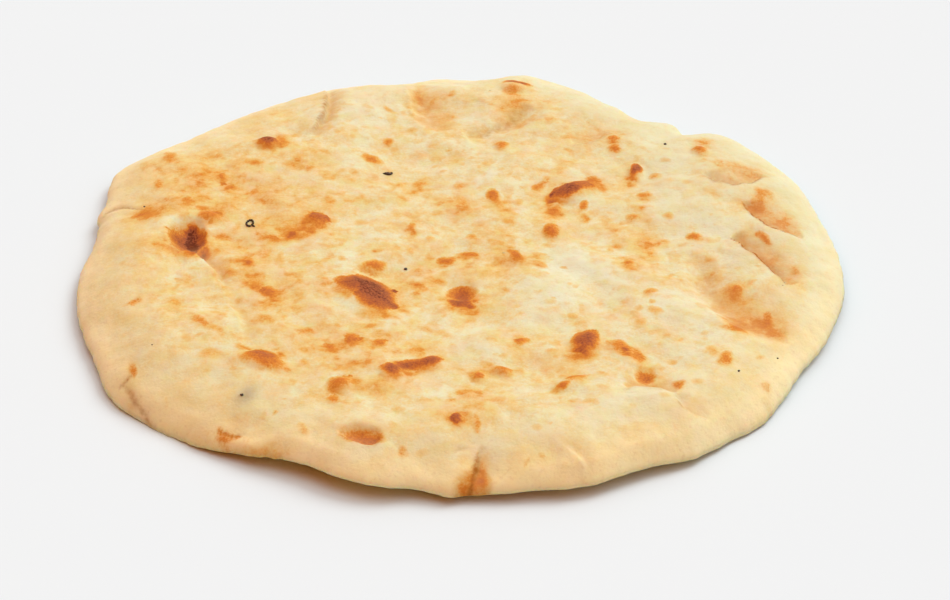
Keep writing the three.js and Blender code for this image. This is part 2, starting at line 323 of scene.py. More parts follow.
# %% Browned marks
# [x, y, length, width, turn, darkness, lift]
SPOTS = [
    (-99, 57, 8.5, 5, -85, 0.56, 0.5), (-101.5, 49, 3, 2.5, -10, 0.45, 0), (-101, 38, 7, 4, 85, 0.54, 0.4),
    (-107.5, 41, 5, 3, -25, 0.34, 0), (-106.5, 54.5, 4, 3.5, -50, 0.32, 0), (-80, 42, 7, 4, -85, 0.64, 0.6),
    (-78.5, 36.5, 4.5, 3.5, -80, 0.42, 0), (-82, 56, 4, 3.5, -55, 0.52, 0.3),
    (-88.5, 44, 4.5, 3.5, -75, 0.4, 0.2), (-94, 52.5, 4.5, 2.5, -5, 0.36, 0), (-87, 63, 5, 2.5, 0, 0.36, 0),
    (-66.5, 62.5, 7, 6, 90, 0.92, 1), (-61.5, 64, 8, 4.5, -70, 0.6, 0.4), (-70, 51, 5, 4.5, -10, 0.36, 0),
    (-53.5, 48, 6, 4.5, -45, 0.44, 0.2), (-58.5, 50, 6, 3.5, -15, 0.34, 0), (-50, 57, 5, 2.5, -85, 0.36, 0),
    (-49, 32.5, 5.5, 4.5, -80, 0.42, 0.3), (-90.5, 26.5, 6.5, 4.5, 85, 0.58, 0.5),
    (-82.5, 17.5, 7.5, 6.5, -25, 0.62, 0.8), (-47, 17, 8, 6, -10, 0.78, 0.9),
    (-47.5, 12.5, 9, 6, 20, 0.58, 0.6), (-56, 11.5, 7.5, 6.5, -80, 0.48, 0.3),
    (-51.5, 8, 6.5, 4.5, -5, 0.52, 0.3), (-60.5, 6.5, 8.5, 3.5, -10, 0.6, 0.3),
    (-64.5, 27, 11.5, 2.5, -10, 0.46, 0), (-66, 36, 11, 6, -15, 0.36, 0), (-83.5, 32, 5, 3.5, 20, 0.36, 0),
    (-62.5, 19.5, 6, 4.5, -5, 0.34, 0), (-106, 21.5, 5.5, 4, 85, 0.46, 0), (-77.5, 9, 7, 3, -25, 0.42, 0),
    (-67.5, 3, 6, 3, -25, 0.4, 0), (-67.5, -8, 5.5, 4.5, -75, 0.56, 0.5),
    (-57.5, -3.5, 5, 3, -85, 0.42, 0.2), (-73.5, -13.5, 4.5, 4.5, -50, 0.52, 0.3),
    (-77.5, -16, 5, 2.5, 80, 0.44, 0), (-65, -20.5, 13, 4, -40, 0.46, 0.2),
    (-60, -23.5, 7, 5.5, -40, 0.7, 0.8), (-74, -22.5, 4.5, 3, -75, 0.42, 0.2),
    (-69, -29, 5, 4, 80, 0.42, 0), (-52.5, -27, 4, 3.5, -55, 0.38, 0), (-43, -19, 4.5, 3.5, -65, 0.46, 0.3),
    (-42.5, -27, 4.5, 3.5, -80, 0.42, 0), (-80, -42.5, 8, 4.5, -40, 0.56, 0.3),
    (-76.5, -45.5, 6.5, 3, -40, 0.42, 0), (-60, -40, 6.5, 4, -45, 0.5, 0.3),
    (-54.5, -45, 6, 3, -40, 0.44, 0.2), (-61.5, -47, 4.5, 3.5, -80, 0.38, 0),
    (-46.5, -46, 5, 3.5, -10, 0.55, 0.4), (-76, -58, 7.5, 4.5, 10, 0.44, 0.1),
    (-76, -65, 2.5, 2.5, -25, 0.36, 0), (-47.5, -61.5, 4, 3, 25, 0.42, 0.2),
    (-67, -68.5, 4.5, 1, -85, 0.42, 0), (-101, -29, 5, 3.5, 50, 0.54, -0.4),
    (-103.5, -31, 4.5, 2, 10, 0.4, 0), (-90, -29, 5, 3.5, -25, 0.38, 0), (-107.5, -9, 4, 3.5, -50, 0.34, 0),
    (-100.5, -9.5, 6.5, 4.5, -5, 0.3, 0), (-117.5, 4.5, 3.5, 2.5, -75, 0.32, 0),
    (-45.5, -93, 6, 3.5, -45, 0.46, 0.2), (-55, -84, 2, 1.5, -70, 0.5, 0),
    (-58, -85, 2.5, 2.5, -15, 0.36, 0), (-88, -75.5, 5, 1.5, -85, 0.38, 0),
    (-25.5, 65, 5.5, 5, -50, 0.58, 0.4), (-30, 53.5, 8.5, 4.5, -35, 0.64, 0.6),
    (-25.5, 85, 7, 2.5, -55, 0.42, 0), (13, 61.5, 6.5, 4.5, -80, 0.58, 0.5),
    (-21, 38, 5.5, 4.5, -85, 0.48, 0.3), (-15, 38.5, 7.5, 5.5, -90, 0.5, 0.4),
    (-1.5, 37, 5.5, 4, -80, 0.5, 0.3), (10.5, 29.5, 9.5, 5, -75, 0.64, 0.5),
    (18, 27, 5, 3.5, 90, 0.42, 0.2), (25, 36, 7, 3.5, 60, 0.58, 0.3), (27.5, 40.5, 4.5, 3, 75, 0.5, 0.2),
    (0, 26.5, 13, 7, -70, 0.42, 0.3), (14, 22.5, 3.5, 3, 90, 0.36, 0), (15, 15.5, 3.5, 3.5, 30, 0.44, 0),
    (-16.5, 12.5, 6, 4, 80, 0.58, 0.4), (-22, 12, 5.5, 4.5, -5, 0.34, 0),
    (-10.5, 6, 4.5, 3.5, -90, 0.42, 0.2), (-44, 28.5, 5.5, 5, -10, 0.45, 0.2),
    (-26, 28, 3.5, 3, -10, 0.36, 0), (-21.5, 20, 5.5, 5, -5, 0.34, 0), (-33, 15.5, 5.5, 4.5, -5, 0.36, 0),
    (-42.5, 70, 4.5, 3.5, -55, 0.36, 0), (-15.5, 96, 9, 3, -85, 0.52, 0), (-42, 44, 5, 3, -85, 0.38, 0),
    (2.5, 7, 4.5, 4, -70, 0.5, 0.3), (-16.5, -1, 5.5, 4.5, -85, 0.42, 0.2),
    (-10.5, -2.5, 5, 4, -90, 0.32, 0), (-5, -5.5, 7, 4.5, 15, 0.68, 0.7), (1.5, -2, 7.5, 4, 5, 0.64, 0.6),
    (17, -4, 9.5, 5, -60, 0.68, 0.6), (24.5, -8, 6.5, 3.5, -40, 0.44, 0.1),
    (24.5, -8.5, 8, 3, -30, 0.44, 0.2), (-28, -9.5, 8.5, 6.5, 10, 0.64, 0.7), (-27, -1, 3, 3, -40, 0.32, 0),
    (-14, -10.5, 5, 4.5, -85, 0.5, 0.3), (-14, -22.5, 4.5, 4, -85, 0.5, 0.3),
    (-9, -16, 8, 5.5, 75, 0.38, 0), (13.5, -22.5, 4.5, 3.5, -40, 0.42, 0.2),
    (-11, -43, 5.5, 4, -20, 0.45, 0.2), (-6.5, -45, 6.5, 3, -25, 0.36, 0),
    (-29.5, -42, 8, 2.5, 0, 0.4, 0.1), (-33.5, -50, 6.5, 6, -60, 0.68, 0.9),
    (-25, -51.5, 6.5, 5, -5, 0.64, 0.8), (-40, -54, 5.5, 4, -5, 0.66, 0.6),
    (-37.5, -59, 4, 3, -85, 0.42, 0.1), (-33.5, -61, 6.5, 3.5, 0, 0.38, 0),
    (-15, -55, 5.5, 3, 40, 0.52, 0.3), (-36, -73, 8, 8, -40, 0.62, 1), (-38, -80, 4, 4, 65, 0.6, 0.5),
    (-35, -84, 4, 3, -50, 0.36, 0), (18, -51.5, 5.5, 4.5, 30, 0.66, 0.7), (27, -56, 4, 2.5, 15, 0.4, 0.2),
    (12.5, -59, 4, 2.5, 0, 0.36, 0), (12, -66, 6.5, 4, -5, 0.66, 1), (5, -69.5, 5, 4, 55, 0.66, 0.7),
    (17, -65, 5.5, 2, -10, 0.4, 0), (1.5, -76.5, 9, 5.5, -90, 0.36, 0), (-3, -82, 5, 3, 15, 0.5, 0.3),
    (-1.5, -90, 4, 3, -90, 0.82, 0.8), (-1.5, -90.5, 8, 6, 0, 0.54, 0.2),
    (4.5, -91.5, 6, 2.5, 90, 0.5, 0.2), (9.5, -87.5, 2, 2, 0, 0.4, 0), (-20, -93.5, 4.5, 3, -60, 0.34, 0),
    (-16.5, -103, 4, 3, -85, 0.5, 0.2), (-11.5, -102.5, 5, 3, 10, 0.38, 0),
    (1, -105, 4.5, 4.5, -90, 0.36, 0), (23, -104, 3.5, 2.5, -35, 0.46, 0),
    (19, -105.5, 4.5, 2, 75, 0.44, 0), (51, 66, 5, 4.5, 80, 0.62, 0.4), (51, 60, 6.5, 4.5, -85, 0.62, 0.4),
    (64, 43, 5, 4, -80, 0.5, 0.3), (74.5, 37, 4.5, 3.5, -15, 0.4, 0), (80, 58.5, 8.5, 6, -85, 0.64, 0.7),
    (55.5, 38.5, 5.5, 3.5, 85, 0.42, 0), (59.5, 30.5, 5.5, 4.5, 35, 0.56, 0.4),
    (39.5, 25, 5.5, 3, 55, 0.64, 0.4), (39.5, 18, 6, 3, 85, 0.5, 0.3), (30.5, 22.5, 6.5, 5, 80, 0.64, 0.6),
    (28.5, 9.5, 8, 6, 85, 0.68, 0.8), (55.5, 18, 5, 4.5, 15, 0.52, 0.4), (67, 17, 4, 3.5, 15, 0.48, 0.3),
    (74.5, 6, 6, 5, -75, 0.64, 0.6), (97.5, 31.5, 8, 5, 80, 0.46, 0.3), (64.5, 4.5, 5, 3.5, 85, 0.46, 0.3),
    (59, 6.5, 10.5, 7.5, -60, 0.36, 0), (47, -0.5, 4.5, 3, 85, 0.4, 0.1), (60.5, -6, 4.5, 3, 85, 0.36, 0),
    (97, 4.5, 7, 3.5, -55, 0.62, 0.3), (52.5, -10, 6, 4, 75, 0.64, 0.5), (48.5, -10, 4, 4, 20, 0.34, 0),
    (79, -14.5, 3, 2, 80, 0.5, 0), (63.5, -18, 5, 3.5, 5, 0.4, 0), (58.5, -26, 5, 4, 40, 0.54, 0.3),
    (54, -35, 4, 3, 5, 0.38, 0.1), (59.5, -35.5, 4.5, 3, -5, 0.38, 0.1), (58.5, -31.5, 3, 2.5, 85, 0.4, 0),
    (34.5, -38.5, 4.5, 3, 0, 0.44, 0.3), (55, -41.5, 5, 4, 80, 0.42, 0.2), (90, -21, 4.5, 2.5, 30, 0.42, 0),
    (84, -43.5, 7, 5.5, -40, 0.64, 0.3), (80.5, -44.5, 3.5, 2.5, 5, 0.5, 0),
    (94, -36, 7.5, 4.5, 80, 0.62, 0.2), (88.5, -33, 8, 5, 55, 0.42, 0), (84, -24.5, 12.5, 8, 40, 0.5, 0.4),
    (85.5, -24, 5, 4, 75, 0.6, 0.2), (90, -56, 4, 2.5, 20, 0.44, 0.2), (79.5, -60.5, 7.5, 5, 75, 0.6, 0.4),
    (75.5, -56.5, 6, 4.5, 65, 0.44, 0.2), (91.5, -67, 5, 3.5, -60, 0.46, 0),
    (64.5, -73, 4.5, 4, 65, 0.64, 0.3), (70, -71.5, 4, 3, 25, 0.36, 0), (49.5, -72.5, 3.5, 2, 0, 0.34, 0),
    (41.5, -67.5, 2.5, 1.5, 0, 0.42, 0), (34.5, -69.5, 7.5, 3.5, 10, 0.62, 0.8),
    (29.5, -74.5, 6, 3.5, 40, 0.7, 0.8), (57.5, -97.5, 4, 2.5, 85, 0.34, 0),
    (62.5, -94, 9.5, 1.5, 85, 0.3, 0), (105.5, -9.5, 4, 3.5, -70, 0.5, 0.2),
]
# The caps of the large blisters and the floors of the large pits. Their domes are made above, so
# of their lift only the sign counts: it says which side of the mark is the sharp one.
CAPS = [
    (-34, -22.5, 12.5, 9, -45, 0.84, 1), (-27.5, -24.5, 18.5, 11.5, -50, 0.94, 1),
    (-26.5, -29, 15, 11, -70, 0.86, 1), (35, 32, 9, 6, 55, 0.9, 1), (39, 35, 12, 7, 25, 0.76, 1),
    (43.5, 38.5, 7.5, 6.5, -80, 0.66, 1), (37.5, -52, 11.5, 8.5, 70, 0.88, 1),
    (36, -57, 6.5, 4.5, 0, 0.55, 1), (48.5, -54, 9.5, 6, -25, 0.64, 1), (49.5, -55.5, 4, 2.5, 85, 0.78, 1),
    (53.5, -58.5, 9, 4, -75, 0.6, 1), (-88.5, 7, 14, 11.5, -75, 0.88, -1),
    (-87, 7.5, 14.5, 5, -80, 1.02, -1), (-82.5, -2.5, 5, 2.5, 80, 0.95, -1), (-84, 6, 11, 4, -85, 0.84, -1),
    (0, -24, 10.5, 9.5, -90, 0.84, 0.3), (0.5, -31.5, 8, 5, 0, 0.5, 0.4),
    (-0.5, -29, 8.5, 4.5, -20, 0.84, 0.3), (2, -34, 4.5, 2, 0, 0.52, 0.4), (-21, -67, 7, 6.5, -5, 0.86, 1),
    (-16.5, -63.5, 8.5, 5.5, 20, 0.84, 1), (-10, -62, 9, 5, 30, 0.88, 1),
    (-59.5, -59.5, 10.5, 4.5, -15, 0.78, 1), (-59, -62.5, 16.5, 7.5, -20, 0.66, 1),
    (-29, -96, 14, 6.5, -10, 0.66, -1), (-27.5, -97.5, 8, 3.5, 0, 0.76, -1), (55, -67, 7, 6.5, 70, 0.7, -1),
    (19, 105, 10, 3.5, 0, 0.9, 1), (17.5, 99.5, 7, 6, 0, 0.5, 0.4), (-70, -88, 5, 3.5, -45, 0.56, 0.3),
    (0.5, -111, 3.5, 3.5, -90, 0.44, 0.3), (-66.5, -89.5, 8.5, 2.6, -20, 0.56, 0.3),
    (-99, -60.5, 7, 3, -75, 0.56, -1), (57.5, 46.5, 7, 4, 85, 0.88, 1), (29.5, 31.5, 7, 2.5, 65, 0.88, 1),
    (32.5, 32.5, 9.5, 3.5, 60, 0.86, 1),
]
# Faint spots: how many, in what circle, and the least and most of what each one measures.
FAINT_SPOTS, FAINT_CIRCLE = 240, 100
FAINT_LENGTH, FAINT_WIDTH = (1.8, 4.8), (0.5, 0.9)  # millimetres, and a share of the length
FAINT_TURN, FAINT_DARKNESS = (-40, 40), (0.24, 0.42)


def scattered_spots(count, circle, seed):
    """Rows like those above at random places in a circle: radius = circle * sqrt(random), which
    spreads them evenly."""
    pick = np.random.default_rng([SEED, seed])
    radius, angle = circle * np.sqrt(pick.uniform(0, 1, count)), pick.uniform(0, 2 * np.pi, count)
    length = pick.uniform(*FAINT_LENGTH, count)
    width = length * pick.uniform(*FAINT_WIDTH, count)
    turn, darkness = pick.uniform(*FAINT_TURN, count), pick.uniform(*FAINT_DARKNESS, count)
    x, y, lift = radius * np.cos(angle), radius * np.sin(angle), 0 * turn
    return np.array([x, y, length, width, turn, darkness, lift]).T


faint_spots = scattered_spots(FAINT_SPOTS, FAINT_CIRCLE, 40)
print(len(SPOTS), "spots,", len(CAPS), "caps of blisters and pits,", len(faint_spots), "faint spots")

# %% How dark each mark makes the crust
HALO = 1  # the reach of the golden ring round a mark, in radii of the mark
EDGE_WARPS = [(5, 1.4, 11), (2, 0.6, 13)]  # [cell, size, seed]: no mark is a clean ellipse
GROW = 1.28  # a mark shows a little smaller than its ellipse, because it fades to the dough
UNMARKED = 0.4  # the darkness to fade from where there is no mark


def browning(x, y, marks):
    """Depth: 1 in the middle of a mark and 0 on its edge, with overlapping marks run together as
    1 - product of r^2. Dark and side: the strongest mark's darkness, and how far the point lies
    towards its far side, -1 to 1, turned round for a sunken mark. Toast: the sum of all golden
    halos, dark * bell(r)."""
    warped_x, warped_y = x.copy(), y.copy()
    for cell, size, seed in EDGE_WARPS:
        warped_x += size * lumps(x, y, cell, seed)
        warped_y += size * lumps(x, y, cell, seed + 1)
    depth, strength, dark = (np.full_like(x, value) for value in (-1, -1, UNMARKED))
    side, toast, unbrowned = np.zeros_like(x), np.zeros_like(x), np.ones_like(x)
    for at_x, at_y, length, width, turn, darkness, lift in marks:
        reach = 2 * length
        near = np.flatnonzero((np.abs(x - at_x) < reach) & (np.abs(y - at_y) < reach))
        r = ellipse(warped_x[near], warped_y[near], at_x, at_y, length, width, turn) / GROW
        angle = math.radians(turn)
        tall = GROW * math.hypot(length * math.sin(angle), width * math.cos(angle)) / 2
        inside = 1 - r * r
        strong = np.where(inside > 0, darkness * np.sqrt(np.maximum(inside, 0)), inside)
        wins = strong > strength[near]
        won = near[wins]
        strength[won], depth[won], dark[won] = strong[wins], inside[wins], darkness
        side[won] = np.clip((warped_y[won] - at_y) / tall, -1, 1) * (-1 if lift < 0 else 1)
        toast[near] += darkness * bell(r, HALO)
        unbrowned[near] *= np.minimum(r * r, 1)
    return np.where(unbrowned < 1, 1 - unbrowned, depth), dark, side, toast


# %% [markdown]
# ## Broad patches of heat
#
# The middle and the left of the bread sat nearest the heat, and are warm and golden. The rim was
# dusted with flour and stayed pale. A few of the pale rows are painted highlights along the lips of
# folds and pits, and a few of the warm rows are painted shade in the hollows of the finger presses.
# These patches have no edge at all, so each is a soft bell. Painted weights would do as well, but
# bells can be moved and measured in millimetres.

# %% Warm and floury patches, with painted shade and painted highlights
# [x, y, length, width, turn, strength]
WARM_AND_SHADE = [
    (-70, 24, 56, 44, 20, 0.45), (-58, -8, 40, 22, -10, 0.3), (-40, -50, 50, 20, -8, 0.25),
    (0, 25, 16, 12, 0, 0.4), (57, 6, 22, 18, 0, 0.35), (-21, -74, 24, 9, -4, 0.5),
    (6, -78, 18, 8, -20, 0.5), (32, -58, 20, 7, 0, 0.35), (-8, 78, 16, 22, 20, 0.5),
    (86, 50, 24, 12, -20, 0.7), (100, 18, 22, 12, -50, 0.6), (-95, -22, 30, 60, 20, 0.35),
    (45, 62, 20, 14, -30, 0.3), (97, -4, 22, 12, -45, 0.6), (10, -12, 40, 14, -10, 0.2),
    (-45, 62, 40, 18, 20, 0.35), (-70, -92, 70, 16, -30, 0.5), (30, -105, 60, 14, 12, 0.35),
    (6, -110, 12, 5, 0, 0.8), (6, -106.5, 5, 9, 0, 0.8), (-102, 23, 17, 12, 65, 0.5),
    (-96, 53, 23, 18, -10, 0.45), (-83, 56, 13, 11, -75, 0.35), (-73, 85, 22, 8, -85, 0.35),
    (-51, 97, 11, 6, -85, 0.3), (-93, 1, 14, 9, -5, 0.3), (-67, -16, 13, 10, -80, 0.5),
    (-58, -31, 17, 12, -5, 0.5), (-51, -20, 19, 15, -5, 0.25), (-38, -55, 12, 10, -85, 0.45),
    (-35, -64, 10, 8, -5, 0.3), (-17, -52, 21, 14, 0, 0.3), (-10, -20, 15, 10, -90, 0.3),
    (1, -30, 14, 9, 0, 0.3), (3, -86, 19, 14, 0, 0.35), (3, -120, 7, 6, 0, 0.9), (14, 8, 21, 13, 90, 0.6),
    (22, 0, 11, 9, 85, 0.35), (29, 20, 12, 5, 90, 0.3), (6, -4, 17, 9, 0, 0.3), (18, 100, 19, 12, -45, 0.6),
    (27, 85, 20, 11, -50, 0.35), (44, 78, 16, 12, -40, 0.3), (52, 72, 11, 10, 20, 0.3),
    (-17, 32, 11, 8, -90, 0.35), (-27, 48, 10, 8, -85, 0.25), (34, -67, 8, 6, 85, 0.35),
    (18, -55, 16, 13, 90, 0.3), (56, -72, 14, 6, 0, 0.4), (50, -56, 8, 6, 85, 0.3),
    (55, -6, 14, 10, 85, 0.3), (57, 41, 12, 8, 85, 0.3), (81, 66, 8, 8, 25, 0.35),
    (101, 27, 12, 9, 80, 0.3), (108, 17, 17, 9, 80, 0.2), (97, 50, 10, 8, 75, 0.25),
    (109, -16, 19, 11, 5, 0.3), (83, -43, 7, 6, 10, 0.5), (95, -42, 10, 8, 65, 0.5),
    (-27, -109, 9, 7, -5, 0.2), (-77, -44, 25, 10, -85, 0.2), (85, -23, 11, 9, -55, 0.5),
    (-104, 44, 36, 18, -50, 0.35), (-105, 20, 14, 11, -5, 0.4), (-71, 73, 29, 13, -55, 0.3),
    (-65, 85, 18, 10, -55, 0.3), (-51, 96, 12, 6, -85, 0.4), (-15, 94, 14, 8, -90, 0.3),
    (15, 89, 16, 10, 90, 0.3), (81, 64, 10, 9, 70, 0.5), (98, 50, 15, 8, 70, 0.35),
    (99, 32, 13, 8, 75, 0.4), (108, 20, 15, 8, 90, 0.35), (107, -3, 34, 9, 85, 0.35),
    (103, -20, 16, 10, 80, 0.3), (85, -41, 11, 10, 65, 0.8), (96, -42, 18, 13, 40, 0.5),
    (3, -117, 11, 9, -90, 0.5), (7, -115, 13, 6, 90, 0.6), (30, 20, 12, 8, 90, 0.3),
    (38, 22, 10, 7, 85, 0.3), (56, -72, 6, 5, 5, 0.3), (63, -74, 8, 7, 75, 0.3),
    (-100, -65, 16, 5, -85, 0.3), (-60, -40, 11, 10, -70, 0.3), (-6, -89, 9, 8, 0, 0.3),
    (26, -7, 8, 5, 50, 0.3), (-68, -97, 8, 6, 25, 0.4), (-59, -111, 32, 6, 25, 0.5),
    (-89, 47, 33, 22, -50, 0.3), (-70, 38, 17, 15, -10, 0.3), (-79, 20, 14, 12, -75, 0.4),
    (-67, 5, 14, 13, -70, 0.4), (-52, 11, 18, 11, -25, 0.3), (-16, 20, 36, 12, -90, 0.35),
    (15, 16, 17, 10, 90, 0.3), (7, -67, 14, 6, 0, 0.4), (34, -65, 8, 8, 20, 0.35),
    (-30, -106, 17, 9, 20, 0.3), (-26, -61, 12, 8, 0, 0.25), (0, -114, 11, 6, -90, 0.4),
    (63, -99, 21, 11, -20, 0.2), (92, -72, 12, 7, 80, 0.3), (94, -36, 13, 11, 70, 0.5),
    (109, -1, 34, 10, 85, 0.2), (-56, -113, 32, 6, 25, 0.8), (-99, -66, 18, 5, -85, 0.3),
    (-44, -28, 15, 5, -85, 0.25), (-60, -20, 13, 11, -10, 0.25), (-14, 5, 14, 9, -90, 0.3),
    (-62, -7, 13, 9, -5, 0.3), (96, 47, 15, 8, 45, 0.5), (106, 16, 14, 10, 80, 0.4),
    # painted shade: the rows at (84, 43), (94, 25), (90, 8) and (78, -5) warm the shade in the hollows of
    # the finger presses on the right
    (-67, -7, 10, 9, -15, 0.4), (-57, -100, 20, 8, 25, 0.5), (84, 43, 14, 8, 50, 0.5),
    (94, 25, 14, 8, 70, 0.5), (90, 8, 15, 8, 60, 0.5), (78, -5, 20, 10, 85, 0.3),
    (17, 83, 22, 10, -70, 0.5), (-16, 96, 19, 6, -90, 0.5), (-97, 21, 20, 12, -5, 0.45),
    (-90, -1, 17, 9, 0, 0.5), (-84, -5, 9, 9, -50, 0.4), (-18, -19, 15, 11, 0, 0.35),
    (55, 40, 12, 9, 85, 0.4), (45, 70, 35, 17, 65, 0.35), (26, 92, 14, 8, 90, 0.3),
    (81, 63, 10, 9, 70, 0.4), (82, 31, 9, 8, 20, 0.4), (100, 32, 15, 10, 80, 0.3),
    (83, -42, 11, 7, 80, 0.4), (91, -74, 14, 6, 85, 0.4), (0, -115, 11, 7, -90, 0.35),
    (-64, -97, 23, 5, 15, 0.4), (5, -69, 10, 6, 0, 0.4), (-27, -62, 8, 8, -20, 0.35),
    (55, -72, 10, 7, 5, 0.3), (59, -7, 14, 9, 85, 0.3), (29, 22, 12, 8, 90, 0.35),
    (-79, 7, 16, 6, -85, 0.3), (-107, 17, 10, 9, -55, 0.3), (-47, 45, 13, 11, -80, 0.3),
    (8, 11, 9, 8, 90, 0.3),
]
PALE_AND_HIGHLIGHT = [
    (30, -5, 60, 12, -42, 0.5), (66, -60, 34, 18, 40, 0.3), (55, 75, 40, 14, -25, 0.3),
    (70, 30, 40, 10, -35, 0.3), (-34, -31, 12, 8, -40, 0.5), (40, -85, 50, 16, 25, 0.3),
    (112, -10, 12, 60, 0, 0.4), (-38, 66, 18, 12, 0, 0.35), (-25, 93, 33, 7, -90, 0.3),
    (-90, -15, 13, 10, -80, 0.3), (-68, 26, 12, 7, -85, 0.25), (70, 53, 19, 11, -10, 0.5),
    (70, 16, 19, 12, 85, 0.35), (82, 10, 23, 11, -60, 0.35), (74, -23, 22, 10, 85, 0.3),
    (89, -7, 11, 10, 70, 0.2), (31, -20, 20, 10, 90, 0.35), (40, -15, 13, 9, 0, 0.25),
    (67, -92, 23, 17, 5, 0.2), (85, -80, 15, 13, 15, 0.3), (10, -109, 13, 5, 90, 0.2),
    (-87, 14, 18, 12, -5, 0.45), (-71, 20, 16, 11, 70, 0.25), (-56, -11, 15, 11, -5, 0.3),
    (44, 7, 14, 8, 85, 0.35), (43, 58, 12, 9, 85, 0.3), (88, -13, 17, 11, 45, 0.35),
    (30, -31, 17, 12, 85, 0.35), (23, -20, 15, 8, 90, 0.25), (4, -52, 18, 14, 0, 0.25),
    (3, -61, 11, 7, 0, 0.2), (78, -96, 15, 8, -55, 0.3), (76, 52, 12, 10, 10, 0.3),
    (-42, 60, 27, 17, -45, 0.2), (-29, 81, 21, 13, 0, 0.2), (-8, 66, 20, 18, 0, 0.25),
    (17, 57, 15, 8, 90, 0.25), (-9, -76, 20, 7, 0, 0.2), (10, -108, 16, 5, 90, 0.25),
    (-90, -20, 16, 14, -70, 0.2), (67, 20, 26, 9, 85, 0.25), (64, -31, 13, 11, 75, 0.25),
    (-89, 13, 16, 11, -5, 0.6), (-36, 5, 25, 11, 85, 0.35), (-21, -18, 13, 9, -85, 0.3),
    (-37, -7, 10, 9, -10, 0.3), (9, -33, 10, 9, 90, 0.35), (25, -47, 15, 11, 85, 0.25),
    (46, -46, 10, 9, 85, 0.3), (55, -81, 22, 9, 10, 0.3), (4, 79, 21, 12, 90, 0.35),
    (-35, 79, 31, 22, -70, 0.25), (8, 36, 20, 9, 90, 0.4), (43, 57, 13, 11, 85, 0.25),
    (45, 26, 20, 12, 0, 0.3), (68, 5, 35, 8, 85, 0.25), (84, 5, 16, 13, 80, 0.3),
    (74, -42, 11, 10, 65, 0.4), (43, -20, 13, 10, 5, 0.25), (69, 50, 14, 12, 20, 0.3),
    (11, -99, 25, 7, 80, 0.25), (-68, -99, 15, 7, 20, 0.2), (-110, -39, 14, 10, -10, 0.25),
    (-71, -47, 14, 8, 90, 0.2), (-2, -44, 16, 10, 0, 0.2), (60, -34, 17, 16, 70, 0.2),
    # painted highlights: from (82, 37) on this line to (-30, -103) two lines down, thin pale rows lie along
    # the lips of the finger presses on the right, of the crater on the left and of the pit in front
    (-54, 38, 10, 8, -80, 0.3), (82, 37, 17, 5, 55, 0.5), (90, 29, 15, 6, 10, 0.4),
    (99, 40, 12, 5, -55, 0.4), (93, 16, 13, 4, 70, 0.5), (100, 5, 27, 5, 40, 0.5), (88, -4, 20, 4, 60, 0.5),
    (95, -17, 30, 4, 50, 0.5), (-81, -7, 18, 5, 35, 0.7), (-30, -103, 23, 5, 15, 0.6),
    (31, -9, 14, 13, 80, 0.35), (79, -45, 13, 10, 80, 0.4), (-14, 7, 12, 9, -90, 0.25),
    (35, -10, 11, 10, 80, 0.3), (-88, 11, 16, 8, 0, 0.5), (-66, 16, 10, 9, -60, 0.3),
    (-62, -11, 15, 10, -5, 0.3), (-17, 25, 13, 8, -75, 0.35), (-22, 96, 19, 7, -90, 0.4),
    (-18, -35, 9, 6, 0, 0.4), (86, 47, 17, 9, 0, 0.35), (99, 13, 19, 8, 0, 0.35), (82, 3, 16, 14, 15, 0.3),
    (93, -47, 9, 8, 35, 0.3), (-55, -106, 34, 7, 15, 0.3), (-34, -119, 17, 7, 0, 0.4),
    (6, -58, 7, 7, 5, 0.3), (19, -75, 20, 10, 0, 0.3), (57, -84, 26, 8, 0, 0.3), (26, -27, 19, 15, 0, 0.3),
    (43, -17, 11, 9, 5, 0.25), (62, -57, 14, 8, 0, 0.3), (65, -36, 15, 10, 85, 0.25),
    (34, -122, 17, 7, -10, 0.4),
]
SOOT = [(-63.2, -76.6, 8, 5.5, 50, 0.5)]  # a grey smudge round one burnt speck
PAINTED_SUN_WAY = (0.8, 0.6)  # painted light: the rim on this side in plan, towards the sun, is painted paler and cooler


def patches(x, y, table):
    """The sum over all patches of strength * bell(r, 1), with r the ellipse distance."""
    return sum(strength * bell(ellipse(x, y, *place), 1) for *place, strength in table)


# %% [markdown]
# ## The skin of the bread
#
# The top climbs steeply from the outermost line over a rounded shoulder to the puffed rim, then sinks
# a little to the middle. Under the line the skin tucks back in to the flat foot. Both surfaces use
# the same two numbers: the direction, and the share of the way out to the outline.

# %% Heights of the top and the underside
CROWN_HEIGHT, CENTRE_HEIGHT = 13, 11.6  # of the plain top, behind the rim and at the middle
SHOULDER, SHOULDER_POWER = 36, 0.5  # how far in the rounded shoulder reaches, and its roundness
RIM_PUFF, RIM_PUFF_AT, RIM_PUFF_SPREAD = 0.7, 22, 13
RIM_EASE = 5  # puff and relief fade out over this distance from the outermost line
UNDERCUT = 22  # how far in the skin tucks back to the foot
SPOT_RISE = 0.6  # of a browned mark whose lift is 1
FINE_LUMPS = [(12, 0.6, 21), (5, 0.32, 22), (2.6, 0.14, 23)]  # [cell, height, seed]
HIGH, HIGHEST = 14.6, 15.6  # soft dough sags, so crests over HIGH flatten and stay under HIGHEST
DIMPLES = [(9, 0.25, 41), (4, 0.15, 42)]  # [cell, height, seed] of the foot, from the oven's floor
DIMPLES_FROM, DIMPLES_EASE = 3, 8  # how far in they begin, and over what distance


def pressed(height):
    """Heights over HIGH squeezed in under HIGHEST, as room * (1 - exp(-excess / room))."""
    room = HIGHEST - HIGH
    return np.minimum(height, HIGH) + room * (1 - np.exp(-np.maximum(height - HIGH, 0) / room))


